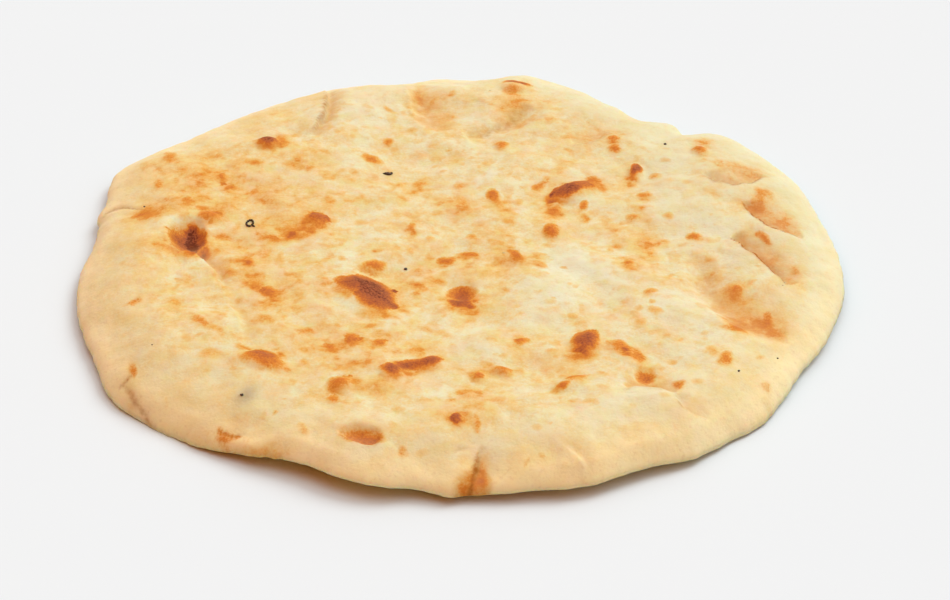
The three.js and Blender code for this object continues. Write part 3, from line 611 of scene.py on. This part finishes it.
def top_relief(x, y):
    """All that stands on the plain top, the stain in its folds, and the painted shade on the slopes beside
    them.
    """
    height, stain, shade = unevenness(x, y), np.zeros_like(x), np.zeros_like(x)
    for one in SWELLS + BLISTERS:
        height += dome(x, y, *one)
    for *place, _, lift in SPOTS:
        height += dome(x, y, *place, SPOT_RISE * lift)
    for cell, size, seed in FINE_LUMPS:
        height += size * lumps(x, y, cell, seed)
    wobbly_x = x + WOBBLE * lumps(x, y, WOBBLE_CELL, 31)
    wobbly_y = y + WOBBLE * lumps(x, y, WOBBLE_CELL, 32)
    for relief, table in ((fold_relief, FOLDS), (groove_relief, GROOVES)):
        for one in table:
            rise, line, hollow_shade = relief(wobbly_x, wobbly_y, *one)
            height += rise
            stain, shade = np.maximum(stain, line), np.maximum(shade, hollow_shade)
    return height, stain, shade


def top_surface(x, y, share, edge):
    """edge + (crown - edge) * shoulder + puff + relief, with shoulder = (1 - left^2)^0.5, where
    left runs from 1 at the outermost line to 0 at the end of the shoulder."""
    inward = (1 - share) * RADIUS
    left = 1 - np.clip(inward / SHOULDER, 0, 1)
    shoulder = (1 - left * left) ** SHOULDER_POWER
    crown = CROWN_HEIGHT + (CENTRE_HEIGHT - CROWN_HEIGHT) * ease((inward - SHOULDER) / RADIUS)
    puff = RIM_PUFF * bell(inward - RIM_PUFF_AT, RIM_PUFF_SPREAD)
    relief, stain, shade = top_relief(x, y)
    height = edge + (crown - edge) * shoulder + ease(inward / RIM_EASE) * (puff + relief)
    return pressed(height), stain, shade


def underside(x, y, share, edge):
    """edge * (1 - ease(inward / undercut)): level at the outermost line, then an S to the table,
    with shallow dimples where the noise is over 0."""
    inward = (1 - share) * RADIUS
    dimples = np.maximum(0, sum(size * lumps(x, y, cell, seed) for cell, size, seed in DIMPLES))
    return edge * (1 - ease(inward / UNDERCUT)) + dimples * ease((inward - DIMPLES_FROM) / DIMPLES_EASE)


# %% [markdown]
# ## Points in rings
#
# A square grid wrapped to a disc crowds its points at the middle and stretches them at the rim.
# Rings whose count of points grows with their radius keep every triangle about the same size.
# Neighbouring rings then have different counts, so they are stitched: walk round both at once and
# always step on the ring whose next point comes first. A sort does that walk for a whole ring.

# %% Rings and stitches
TOP_RINGS, TOP_CROWDING = 157, 1.15
FOOT_RINGS, FOOT_CROWDING = 72, 1.05
SIDES_PER_RING = 6  # each ring has this many points more than the next one in
TEARS = [(6, 0.5, 51), (2.4, 0.3, 52)]  # [cell, size, seed] of the ragged outermost line
CRUMBLY_EDGE = [[239, 1.4, 12]]  # [direction, how much more, spread]: most ragged here
TORN_SHARE = 0.04  # the tears fade out over this share of the way in


def ring_points(share, count):
    """Directions and places of one ring: the outline scaled by share, with a finely torn rim."""
    direction = np.arange(count) * 360 / count
    turn = np.radians(direction)
    radius = outline_radius(direction)
    x, y = radius * np.cos(turn), radius * np.sin(turn)
    torn = sum(size * lumps(x, y, cell, seed) for cell, size, seed in TEARS)
    torn *= 1 + bells_round(direction, CRUMBLY_EDGE)
    scale = share * (1 + torn * ease(1 - (1 - share) / TORN_SHARE) / RADIUS)
    return x * scale, y * scale, np.full(count, share), edge_height(direction) * np.ones(count)


def stitch(outer, inner):
    """Triangles between two rings, given as (first index, count), for faces that look up."""
    (outer_first, a), (inner_first, b) = outer, inner
    comes_at = np.concatenate([(np.arange(a) + 0.5) / a, (np.arange(b) + 0.5) / b])
    is_inner = np.repeat([0, 1], [a, b])[np.lexsort((np.repeat([0, 1], [a, b]), comes_at))]
    j = np.cumsum(is_inner) - is_inner
    i = np.arange(a + b) - j
    here, there = outer_first + i % a, inner_first + j % b
    ahead = np.where(is_inner, inner_first + (j + 1) % b, outer_first + (i + 1) % a)
    return np.stack([here, ahead, there], 1)


def ring_counts(rings):
    """Counts of points from the rim to the middle, where a single point closes the skin."""
    return [SIDES_PER_RING * k for k in range(rings, 0, -1)] + [1]


def ring_shares(rings, crowding):
    """1 - (1 - k / rings)^crowding: over 1 sets the rings closer together at the rim."""
    return 1 - (1 - np.arange(rings, -1, -1) / rings) ** crowding


# %% Work out the whole skin
def skin(shares, counts, height_of):
    """The points of all rings as one table, and the first index and count of each ring."""
    x, y, share, edge = np.concatenate([ring_points(s, c) for s, c in zip(shares, counts)], 1)
    spans = list(zip(np.cumsum([0, *counts[:-1]]), counts))
    return x, y, share, height_of(x, y, share, edge), spans


top_counts = ring_counts(TOP_RINGS)
top_x, top_y, top_share, (top_z, top_stain, top_shade), top_spans = skin(
    ring_shares(TOP_RINGS, TOP_CROWDING), top_counts, top_surface
)

RIM_RINGS = 9  # the underside starts with rings of half the rim's count, then thins out
RIM_BAND = (0.004, 0.07)  # the shares of the way in of the first and the last of them
FOOT_SHARE = 0.92  # the share of the way out of the ring after them
under_counts = [top_counts[0] // 2] * RIM_RINGS + ring_counts(FOOT_RINGS)
under_shares = np.concatenate(
    [1 - np.linspace(*RIM_BAND, RIM_RINGS), FOOT_SHARE * ring_shares(FOOT_RINGS, FOOT_CROWDING)]
)
under_x, under_y, under_share, under_z, under_spans = skin(under_shares, under_counts, underside)
print("Top", len(top_x), "points, underside", len(under_x), "points, highest", top_z.max().round(2), "mm")

# %% [markdown]
# ## From numbers to a mesh
#
# The top and the underside share the ring at the rim, so the skin is closed with no seam. How brown,
# warm or stained the skin is gets stored at its points as attributes, and so do the painted shade
# beside its folds and the painted paleness of the rim's sunlit side. The finish reads them, and they
# stay fixed to the skin however it is looked at.

# %% Build the bread
top_triangles = np.concatenate([stitch(a, b) for a, b in zip(top_spans[:-1], top_spans[1:])])
under_spans = [top_spans[0]] + [(first + len(top_x), count) for first, count in under_spans]
under_triangles = np.concatenate([stitch(a, b) for a, b in zip(under_spans[:-1], under_spans[1:])])
triangles = np.concatenate([top_triangles, under_triangles[:, ::-1]])

points = np.stack(
    [
        np.concatenate([top_x, under_x]) + SHIFT[0],
        np.concatenate([top_y, under_y]) + SHIFT[1],
        np.concatenate([top_z, under_z]),
    ],
    1,
)


def piece_from(name, points, triangles):
    """A smooth-shaded mesh object from points in millimetres and triangles."""
    mesh = bpy.data.meshes.new(name)
    mesh.from_pydata(points * MM, [], triangles)
    mesh.update()
    mesh.shade_smooth()
    made = bpy.data.objects.new(name, mesh)
    bpy.context.scene.collection.objects.link(made)
    return made


bread = piece_from("bread", points, triangles)
print(bread.name, "has", len(triangles), "triangles")

# %% Store the browning on the skin
FOOT_SPOTS, FOOT_CIRCLE = 150, 112
FOOT_SPOT_SCALE = [1, 1, 1.8, 1.8, 1, 1.7, 1]  # larger and darker than the faint spots of the top
FOOT_WARMTH, BOTTOM_RIM_WARMTH, BOTTOM_RIM = 0.35, 0.8, 24


def surface_values(marks, warmth, share, **others):
    """What the finish reads at the points of one surface, by name; marks as browning gives them."""
    named_marks = dict(zip(("depth", "dark", "side", "toast"), marks))
    return {**named_marks, "warmth": warmth, "inward": (1 - share) * RADIUS, **others}


def store(piece, name, values):
    """A number at every point, which the finish can read by name."""
    attribute = piece.data.attributes.new(name, "FLOAT", "POINT")
    attribute.data.foreach_set("value", values.astype(np.float32))
    print(name, "from", values.min().round(3), "to", values.max().round(3))


# painted light: how far each point lies towards the sun in plan; the finish paints the rim paler on that
# side
far_side = (top_x + SHIFT[0]) * PAINTED_SUN_WAY[0] + (top_y + SHIFT[1]) * PAINTED_SUN_WAY[1]
on_top = surface_values(
    browning(top_x, top_y, [*SPOTS, *CAPS, *faint_spots]),
    patches(top_x, top_y, WARM_AND_SHADE) - patches(top_x, top_y, PALE_AND_HIGHLIGHT),
    top_share, stain=top_stain, shade=top_shade,
    far_side=far_side / RADIUS, soot=patches(top_x, top_y, SOOT),
)
underneath = surface_values(
    browning(under_x, under_y, scattered_spots(FOOT_SPOTS, FOOT_CIRCLE, 60) * FOOT_SPOT_SCALE),
    FOOT_WARMTH + BOTTOM_RIM_WARMTH * bell((1 - under_share) * RADIUS, BOTTOM_RIM),
    under_share,
)
nothing = np.zeros_like(under_x)  # stain, painted shade, the painted sun side and soot lie on the top alone
for name, values in on_top.items():
    store(bread, name, np.concatenate([values, underneath.get(name, nothing)]))

# %% [markdown]
# ## Arithmetic on sockets
#
# A finish is a formula, and a formula is easier to read as one. This small class wraps the output of
# a shader node, so that adding or multiplying two of them adds the Math node that does it.

# %% A shader formula as Python
class Signal:
    """The output of a shader node that can be used in arithmetic."""

    def __init__(self, nodes, socket):
        self.nodes, self.socket = nodes, socket

    def _math(self, operation, *values):
        return self.nodes.node("Math", {"operation": operation}, dict(enumerate(values)))

    def __add__(self, other):
        return self._math("ADD", self, other)

    def __sub__(self, other):
        return self._math("SUBTRACT", self, other)

    def __rsub__(self, other):
        return self._math("SUBTRACT", other, self)

    def __mul__(self, other):
        return self._math("MULTIPLY", self, other)

    __radd__, __rmul__ = __add__, __mul__

    def power(self, exponent):
        """This value raised to the exponent."""
        return self._math("POWER", self, exponent)

    def at_least(self, least):
        """The larger of this value and least."""
        return self._math("MAXIMUM", self, least)

    def smooth_max(self, other, blend):
        """The larger of the two, rounded where they cross."""
        return self._math("SMOOTH_MAX", self, other, blend)

    def clamped(self):
        """This value held between 0 and 1."""
        return self.nodes.node("Clamp", {}, {0: self})

    def between(self, low, high):
        """0 at low and below, 1 at high and above, with a smooth step between."""
        settings = {"interpolation_type": "SMOOTHSTEP"}
        return self.nodes.node("MapRange", settings, {0: self, 1: low, 2: high})


class Nodes:
    """The nodes of one material or world."""

    def __init__(self, owner):
        owner.use_nodes = True
        self.tree = owner.node_tree
        self.tree.nodes.clear()

    def node(self, kind, settings=None, sockets=None, out=0):
        """A new node: its settings first, then the values or links of its sockets."""
        made = self.tree.nodes.new("ShaderNode" + kind)
        for name, value in (settings or {}).items():
            if name == "stops":
                self.set_stops(made.color_ramp, value)
            else:
                setattr(made, name, value)
        for name, value in (sockets or {}).items():
            self.feed(made.inputs[name], value)
        return Signal(self, made.outputs[out]) if made.outputs else made

    def set_stops(self, ramp, stops):
        """The stops of a colour ramp, which starts out with two of its own."""
        for _ in stops[2:]:
            ramp.elements.new(0.5)
        for element, (position, colour) in zip(ramp.elements, stops):
            element.position, element.color = position, (*colour, 1)

    def feed(self, socket, value):
        """A link where the value is a signal, and else the plain value."""
        if isinstance(value, Signal):
            self.tree.links.new(value.socket, socket)
        else:
            socket.default_value = value

    def stored(self, name):
        """A number that is stored at the points of the mesh."""
        return self.node("Attribute", {"attribute_name": name}, out="Fac")

    def noise(self, size_mm, detail=2, stretch=1, turn=0):
        """Soft noise, about 0 to 1, whose lumps are roughly size_mm across and stretch times as
        long, lying at turn degrees in plan."""
        place = self.node("TexCoord", out="Object")
        if stretch != 1:
            sockets = {0: place, "Rotation": (0, 0, -math.radians(turn)), "Scale": (1 / stretch, 1, 1)}
            place = self.node("Mapping", {}, sockets)
        values = {"Vector": place, "Scale": 1 / (size_mm * MM), "Detail": detail}
        return self.node("TexNoise", {}, values)

    def mix(self, factor, low, high):
        """A colour between low and high."""
        return self.node("Mix", {"data_type": "RGBA"}, {0: factor, 6: low, 7: high}, out=2)

    def ramp(self, factor, stops):
        """The colour at factor along a row of stops."""
        return self.node("ValToRGB", {"stops": stops}, {0: factor})


# %% [markdown]
# ## Colours as the eye sees them
#
# Paint and dough are named by the colour they show, in steps of 0 to 255, on a screen. A renderer
# wants the share of light that the surface sends back, on a straight scale. This helper undoes the
# screen's curve, and divides by how strongly the studio lights a level surface.

# %% Light of the studio
SUN_LEVEL = 0.3  # what the sun adds to the brightness of a level white surface
SKY_LEVEL = 0.86
SKY_OVERHEAD = 1.5  # the sky is brightest overhead, like a large lamp screen above the table
SKY_AT_HORIZON = 0.34
SKY_LEAN = 0.28  # and brighter behind and to the right of the bread than on its other sides
LOW_GLOW = np.array([1.3, 0.36, 0.05])  # the warm walls of the room, low down in front and left
GLOW_TOP = 0.85  # the glow reaches this high at the sides, and higher in front of the bread
SKY_ROWS, SKY_COLUMNS = 100, 72  # for adding up the light of the whole sky


def lit_way(right, back):
    """How far a ray points to the back and the right: (right + back) / sqrt(2)."""
    return (right + back) * math.sqrt(0.5)


def sky_strength(right, back, up):
    """(overhead * up^2 + horizon) * (1 + lean * lit way), for a ray towards (right, back, up)."""
    return (up * up * SKY_OVERHEAD + SKY_AT_HORIZON) * (1 + lit_way(right, back) * SKY_LEAN) * SKY_LEVEL


row_middles = (np.arange(SKY_ROWS) + 0.5) / SKY_ROWS
up, round_way = np.meshgrid(row_middles, 2 * np.pi * np.arange(SKY_COLUMNS) / SKY_COLUMNS)
right, back = np.sqrt(1 - up * up) * np.cos(round_way), np.sqrt(1 - up * up) * np.sin(round_way)
falls = 2 * sky_strength(right, back, up) * up  # on a level surface
low = ease(1 - (up + lit_way(right, back)) / GLOW_TOP)[..., None]
SKY_COLOUR = (falls[..., None] * (1 + low * (LOW_GLOW - 1))).mean((0, 1))
LIGHT_COLOUR = SKY_COLOUR + SUN_LEVEL
print("A level white surface shows", np.round(LIGHT_COLOUR, 3))

# %% Colours under that light
def linear(shown):
    """A screen value of 0 to 255 on a straight scale of 0 to 1."""
    v = np.array(shown) / 255
    return np.where(v <= 0.04045, v / 12.92, ((v + 0.055) / 1.055) ** 2.4)


def crust(*shown):
    """The colour that a level piece of crust must have to show as the given one."""
    return tuple(linear(shown) / LIGHT_COLOUR)


print("Cream dough sends back", np.round(crust(244, 226, 180), 3))

# %% [markdown]
# ## The heat in the crust
#
# One number says how far each bit of crust has baked, from raw white dough at 0 to char at 1, and
# all colours follow from it. Unbrowned dough lies at 0.1 to 0.4, mottled by noise of several sizes
# and warmer round each mark. The marks reach 0.5 to 1. The larger of the two counts, rounded where
# they cross, so no mark has a hard rim. Noise also eats into the marks, because scorched skin is
# porous and its edge is never clean.

# %% How far each bit has baked
baked_crust = bpy.data.materials.new("baked_crust")
baked = Nodes(baked_crust)
depth, dark, side, toast, warmth, stain, shade, inward, soot = (
    baked.stored(name)
    for name in ("depth", "dark", "side", "toast", "warmth", "stain", "shade", "inward", "soot")
)
middle = inward.between(12, 32)  # 0 on the rim, which bakes more evenly than the thin middle
sunlit_paint = baked.stored("far_side").between(0.3, 0.9)  # painted light: 1 on the side of the rim that faces the sun

mottle, cloud, freckle, grain = (baked.noise(size) - 0.5 for size in (14, 7, 1.8, 0.7))
streaks = baked.noise(3.6, stretch=2.6, turn=-30) - 0.5
blobs = baked.noise(4.4, 1).between(0.5, 0.7)
uneven = mottle * 0.3 + cloud * 0.3 + freckle * 0.2 + grain * 0.2
uneven = uneven + streaks * 0.14 * middle + blobs * 0.12 * (0.3 + middle * 0.7)
skirt = toast.between(0.1, 0.8) * (1 - side)  # the golden slope on the soft side of each mark
# painted shade: the shade beside the folds and grooves also warms the dough a little
dough_heat = 0.15 + middle * 0.06 + warmth * 0.3 + skirt * 0.17 + shade * 0.1 + uneven

ragged_depth = (depth + freckle * 0.22 + grain * 0.18).at_least(0)
fullness = ragged_depth.power(1 - side * 0.4 - dark * 0.4).clamped()  # sharper on the far side
scorch = (dark + 0.03) * fullness * (0.9 + side * 0.1)
heat = dough_heat.smooth_max(scorch * 1.08 + grain * 0.5 * scorch, 0.08).clamped()
print("The heat takes", len(baked.tree.nodes), "nodes")

# %% [markdown]
# ## From heat to colour
#
# Dough runs from cream through golden, amber and orange-brown to a dark red-brown, and a row of
# stops is the clearest way to set such a series. Heat alone would look like a map, though. Real
# dough also drifts in hue: rosy here and buttery there, grey where soot fell, brown along a crack.
# Some drifts are painted light and shade: the rim is peach except on the side that faces the sun,
# which is paler and cooler, its steep outer edge is lifted to undo its shade, and the hollows beside
# the folds are darkened to a warm tan. Each drift is one Mix node, laid on by a loop.

# %% Colours of the crust
skin_colour = baked.ramp(
    heat,
    [
        (0, crust(243, 230, 194)), (0.12, crust(243, 226, 182)), (0.24, crust(243, 212, 154)),
        (0.34, crust(243, 197, 124)), (0.44, crust(240, 176, 90)), (0.53, crust(234, 151, 58)),
        (0.63, crust(223, 129, 46)), (0.76, crust(197, 104, 47)), (0.9, crust(166, 86, 50)),
        (1, crust(114, 48, 20)),
    ],
)
plain = 1 - heat.between(0.3, 0.6)  # 1 on unbrowned dough
rosy, buttery = (baked.noise(size).between(0.48, 0.68) * plain for size in (9, 6.5))
# painted light: the steep outer edge falls in shade, so it is lifted towards a colour brighter than white,
# less on the sunlit side and on warm patches
edge_light_paint = inward.between(12, 1) * plain * (1 - sunlit_paint * 0.7) * (1 - warmth.between(0.25, 0.9))
drifts = [
    (rosy * 0.4, crust(243, 205, 160)),
    (buttery * 0.35, crust(240, 214, 132)),
    # partly painted shade: peach on the rim, kept off the side that faces the sun, so it also stands for
    # warm shade on the shaded side
    ((1 - inward.between(8, 34)) * 0.4 * plain * (1 - sunlit_paint), crust(250, 215, 150)),
    # painted light: the rim's side that faces the sun, paler and cooler
    (sunlit_paint * 0.5 * plain, crust(232, 217, 172)),
    (edge_light_paint * 0.7, crust(269, 240, 184)),
    (baked.noise(1.3).between(0.55, 0.75) * plain * 0.25, crust(232, 188, 134)),
    # painted shade: the hollows beside the folds and grooves, darkened to a warm tan
    ((shade * (0.75 + freckle)).clamped(), crust(226, 162, 106)),
    (soot, crust(166, 150, 130)),
    ((stain + stain * freckle * 2).clamped(), crust(180, 106, 32)),
]
for share, colour in drifts:
    skin_colour = baked.mix(share, skin_colour, (*colour, 1))
print("Its colour is mixed from", len(drifts), "drifts")

# %% Finish of the crust
pores = baked.noise(0.9, 3) * 0.6 + baked.noise(2.2) * 0.4
bump = baked.node("Bump", {}, {"Strength": 0.42, "Distance": 0.0004, "Height": pores})
skin_shader = baked.node(
    "BsdfPrincipled",
    {},
    {
        "Base Color": skin_colour, "Roughness": 0.75 - heat * 0.2, "Normal": bump,
        "Specular IOR Level": 0.1, "Subsurface Weight": 0.5, "Subsurface Scale": 0.0025,
        "Subsurface Radius": (1, 0.4, 0.15),
    },
)
baked.node("OutputMaterial", {}, {"Surface": skin_shader})
bread.data.materials.append(baked_crust)

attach(bread, "root")
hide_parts("naan")
print("The crust has", len(baked.tree.nodes), "nodes")

# %% [markdown]
# ## Burnt specks and crumbs
#
# Flakes of char fall from the oven wall on to the dough, and a few dry crumbs cling to it. They are
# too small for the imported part, but they are real lumps, so they get a mesh, and each sits partly
# sunk in the crust. A sphere of a few dozen triangles, with every point pushed in or out at random,
# is plenty for a thing of one or two millimetres.

# %% A rough little lump
LUMP_ROWS, LUMP_COLUMNS = 5, 9


def sphere_net(rows, columns):
    """Points and triangles of a unit sphere: rows of points between its two poles."""
    polar = np.repeat(np.arange(1, rows + 1) * np.pi / (rows + 1), columns)
    turn = np.tile(np.arange(columns) * 2 * np.pi / columns, rows)
    belt = np.stack([np.sin(polar) * np.cos(turn), np.sin(polar) * np.sin(turn), np.cos(polar)], 1)
    points = np.concatenate([belt, [[0, 0, 1], [0, 0, -1]]])
    row, column = np.divmod(np.arange((rows - 1) * columns), columns)
    a, b = row * columns + column, row * columns + (column + 1) % columns
    c, d = a + columns, b + columns
    here, last_row = np.arange(columns), (rows - 1) * columns
    ahead = (here + 1) % columns
    upper, lower = np.full(columns, len(belt)), np.full(columns, len(belt) + 1)
    corners = [(a, c, b), (b, c, d), (here, ahead, upper), (last_row + ahead, last_row + here, lower)]
    return points, np.concatenate([np.stack(three, 1) for three in corners])


def height_at(x, y):
    """The height of the crust at places in plan."""
    radius = np.hypot(x, y)
    direction = np.degrees(np.arctan2(y, x))
    return top_surface(x, y, radius / outline_radius(direction), edge_height(direction))[0]


def scatter_lumps(name, table, roughness, sunk, seed):
    """One piece from rows of [x, y, length, width, height, turn]: unit spheres with uneven radii
    1 + roughness * random, stretched, turned and set on the crust, sunk by that share."""
    pick = np.random.default_rng([SEED, seed])
    net, faces = sphere_net(LUMP_ROWS, LUMP_COLUMNS)
    at_x, at_y, length, width, height, turn = (column[:, None] for column in np.array(table, float).T)
    uneven = net[None] * (1 + roughness * pick.uniform(-1, 1, (len(table), len(net), 1)))
    u, v, w = uneven[..., 0] * length / 2, uneven[..., 1] * width / 2, uneven[..., 2] * height / 2
    c, s = np.cos(np.radians(turn)), np.sin(np.radians(turn))
    lift = height_at(at_x, at_y) + height * (0.5 - sunk)
    placed = np.stack([at_x + SHIFT[0] + u * c - v * s, at_y + SHIFT[1] + u * s + v * c, lift + w], -1)
    steps = np.arange(len(table))[:, None, None] * len(net)
    made = piece_from(name, placed.reshape(-1, 3), (faces[None] + steps).reshape(-1, 3))
    print(name, "has", len(table), "lumps and", len(made.data.polygons), "triangles")
    return made


# %% Where they lie
# [x, y, length, width, height, turn], all but the turn in millimetres
BURNT = [
    [-25.2, 46.5, 2.8, 1.4, 0.9, -10], [-23.9, 46.9, 1.2, 1, 0.7, 0], [-17.9, -9.5, 1.1, 1, 0.7, 20],
    [68.4, 63.3, 1, 0.9, 0.6, 0], [83, -64.4, 0.9, 0.7, 0.5, 30], [95.8, -53.6, 0.7, 0.6, 0.4, 0],
    [-64.8, -76.9, 1.2, 1.1, 0.6, 40], [-104.2, 26.1, 0.7, 0.6, 0.4, 0], [-93.6, -53.1, 0.5, 0.4, 0.3, 0],
    [-67.6, 13.4, 1.3, 0.8, 0.7, -50],
]
CURL = [-68.9, 15.3]  # a burnt flake that rolled up: a ring of lumps, open over 54 degrees
CURL_LUMPS = 10
CURL_REACH = [1.1, 1.76]
CURL_LUMP = [1, 0.7, 0.9]
CRUMBS = [
    [101, -18.5, 1, 0.7, 0.5, 0], [102.6, -17.4, 0.8, 0.6, 0.4, 30], [100.2, -20.4, 0.8, 0.6, 0.4, 0],
    [9.3, 98.1, 1, 0.5, 0.3, 0], [13.3, -1.7, 1, 0.6, 0.3, 0],
]
way = np.radians(-40 + 340 * np.arange(CURL_LUMPS) / CURL_LUMPS)
curl = CURL + np.stack([np.cos(way), np.sin(way)], 1) * CURL_REACH
curl_rows = np.concatenate([curl, [CURL_LUMP] * CURL_LUMPS, np.degrees(way)[:, None] + 90], 1)
specks = scatter_lumps("burnt_specks", [*BURNT, *curl_rows], 0.22, 0.3, 70)
crumbs = scatter_lumps("crumbs", CRUMBS, 0.3, 0.5, 71)


# %% Finish of the specks and crumbs
def grainy(name, dark, light, size_mm, rough):
    """A rough material whose colour drifts between two, with grains of size_mm."""
    made = bpy.data.materials.new(name)
    nodes = Nodes(made)
    grains = nodes.noise(size_mm)
    colour = nodes.mix(grains.between(0.35, 0.65), (*dark, 1), (*light, 1))
    relief = nodes.node("Bump", {}, {"Strength": 0.5, "Distance": 0.0002, "Height": grains})
    sockets = {"Base Color": colour, "Roughness": rough, "Normal": relief}
    nodes.node("OutputMaterial", {}, {"Surface": nodes.node("BsdfPrincipled", {}, sockets)})
    return made


char = grainy("char", crust(34, 20, 8), crust(92, 60, 30), 0.5, 0.45)
dry_crumb = grainy("dry_crumb", crust(226, 182, 124), crust(246, 222, 176), 0.6, 0.9)
for piece, finish in ((specks, char), (crumbs, dry_crumb)):
    piece.data.materials.append(finish)
    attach(piece, "root")

# %% [markdown]
# ## The studio
#
# The bread lies on a plain pale floor under one broad, soft light from the right and a little behind,
# with an even pale sky that fills the shadows. A sun with a wide disc throws the same soft shadow
# everywhere, and with it the floor stays one even grey from edge to edge.

# %% Floor, sky and sun
FLOOR_SHOWN = 243
SUN_ELEVATION = 48
SUN_AZIMUTH = 38  # from +X towards +Y
SUN_DISC = 32
FLOOR_RADIUS = 3

bpy.ops.mesh.primitive_circle_add(vertices=64, radius=FLOOR_RADIUS, fill_type="NGON")
floor = bpy.context.object
floor.name = "floor"
floor_colour = linear(FLOOR_SHOWN) / LIGHT_COLOUR
floor_paper = bpy.data.materials.new("floor_paper")
paper = Nodes(floor_paper)
paper_shader = paper.node("BsdfDiffuse", {}, {"Color": (*floor_colour, 1)})
paper.node("OutputMaterial", {}, {"Surface": paper_shader})
floor.data.materials.append(floor_paper)

world = bpy.data.worlds.new("pale_sky")
bpy.context.scene.world = world
sky = Nodes(world)
ray = [sky.node("SeparateXYZ", {}, {0: sky.node("TexCoord")}, out=axis) for axis in "XYZ"]
glow_share = (ray[2] + lit_way(*ray[:2])).between(GLOW_TOP, 0)
glow_colour = sky.mix(glow_share, (1, 1, 1, 1), (*LOW_GLOW, 1))
glow = sky.node("Background", {}, {"Color": glow_colour, "Strength": sky_strength(*ray)})
beyond_floor = sky.node("Background", {}, {"Color": (*[float(linear(FLOOR_SHOWN))] * 3, 1)})
seen = sky.node("LightPath", out="Is Camera Ray")
sky.node("OutputWorld", {}, {"Surface": sky.node("MixShader", {}, {0: seen, 1: glow, 2: beyond_floor})})

sun_light = bpy.data.lights.new("soft_sun", "SUN")
sun_light.angle = math.radians(SUN_DISC)
sun_light.energy = SUN_LEVEL * math.pi / math.sin(math.radians(SUN_ELEVATION))
sun = bpy.data.objects.new("soft_sun", sun_light)
flat = math.cos(math.radians(SUN_ELEVATION))
towards_sun = Vector((
    flat * math.cos(math.radians(SUN_AZIMUTH)),
    flat * math.sin(math.radians(SUN_AZIMUTH)),
    math.sin(math.radians(SUN_ELEVATION)),
))
sun.rotation_euler = towards_sun.to_track_quat("Z", "Y").to_euler()
bpy.context.scene.collection.objects.link(sun)
bpy.context.scene.view_settings.view_transform = "Standard"
print("The floor sends back", np.round(floor_colour, 3), "of its light")

# %% [markdown]
# ## The camera
#
# The bread is seen from about 35 degrees above the table, through a long lens from a little under a
# metre away, so its far side looks only slightly smaller than its near side.

# %% Camera
LENS = 100
SENSOR = 36
CAMERA_DISTANCE = 830
CAMERA_ELEVATION = 35
LOOK_AT = np.array([4.03, -19.16, 6])  # in the plan's millimetres

camera_data = bpy.data.cameras.new("camera")
camera_data.lens, camera_data.sensor_width = LENS, SENSOR
camera = bpy.data.objects.new("camera", camera_data)
tilt = math.radians(CAMERA_ELEVATION)
away = CAMERA_DISTANCE * np.array([0, -math.cos(tilt), math.sin(tilt)])
camera.location = Vector((LOOK_AT + away + [*SHIFT, 0]) * MM)
camera.rotation_euler = (math.radians(90) - tilt, 0, 0)
bpy.context.scene.collection.objects.link(camera)
bpy.context.scene.camera = camera
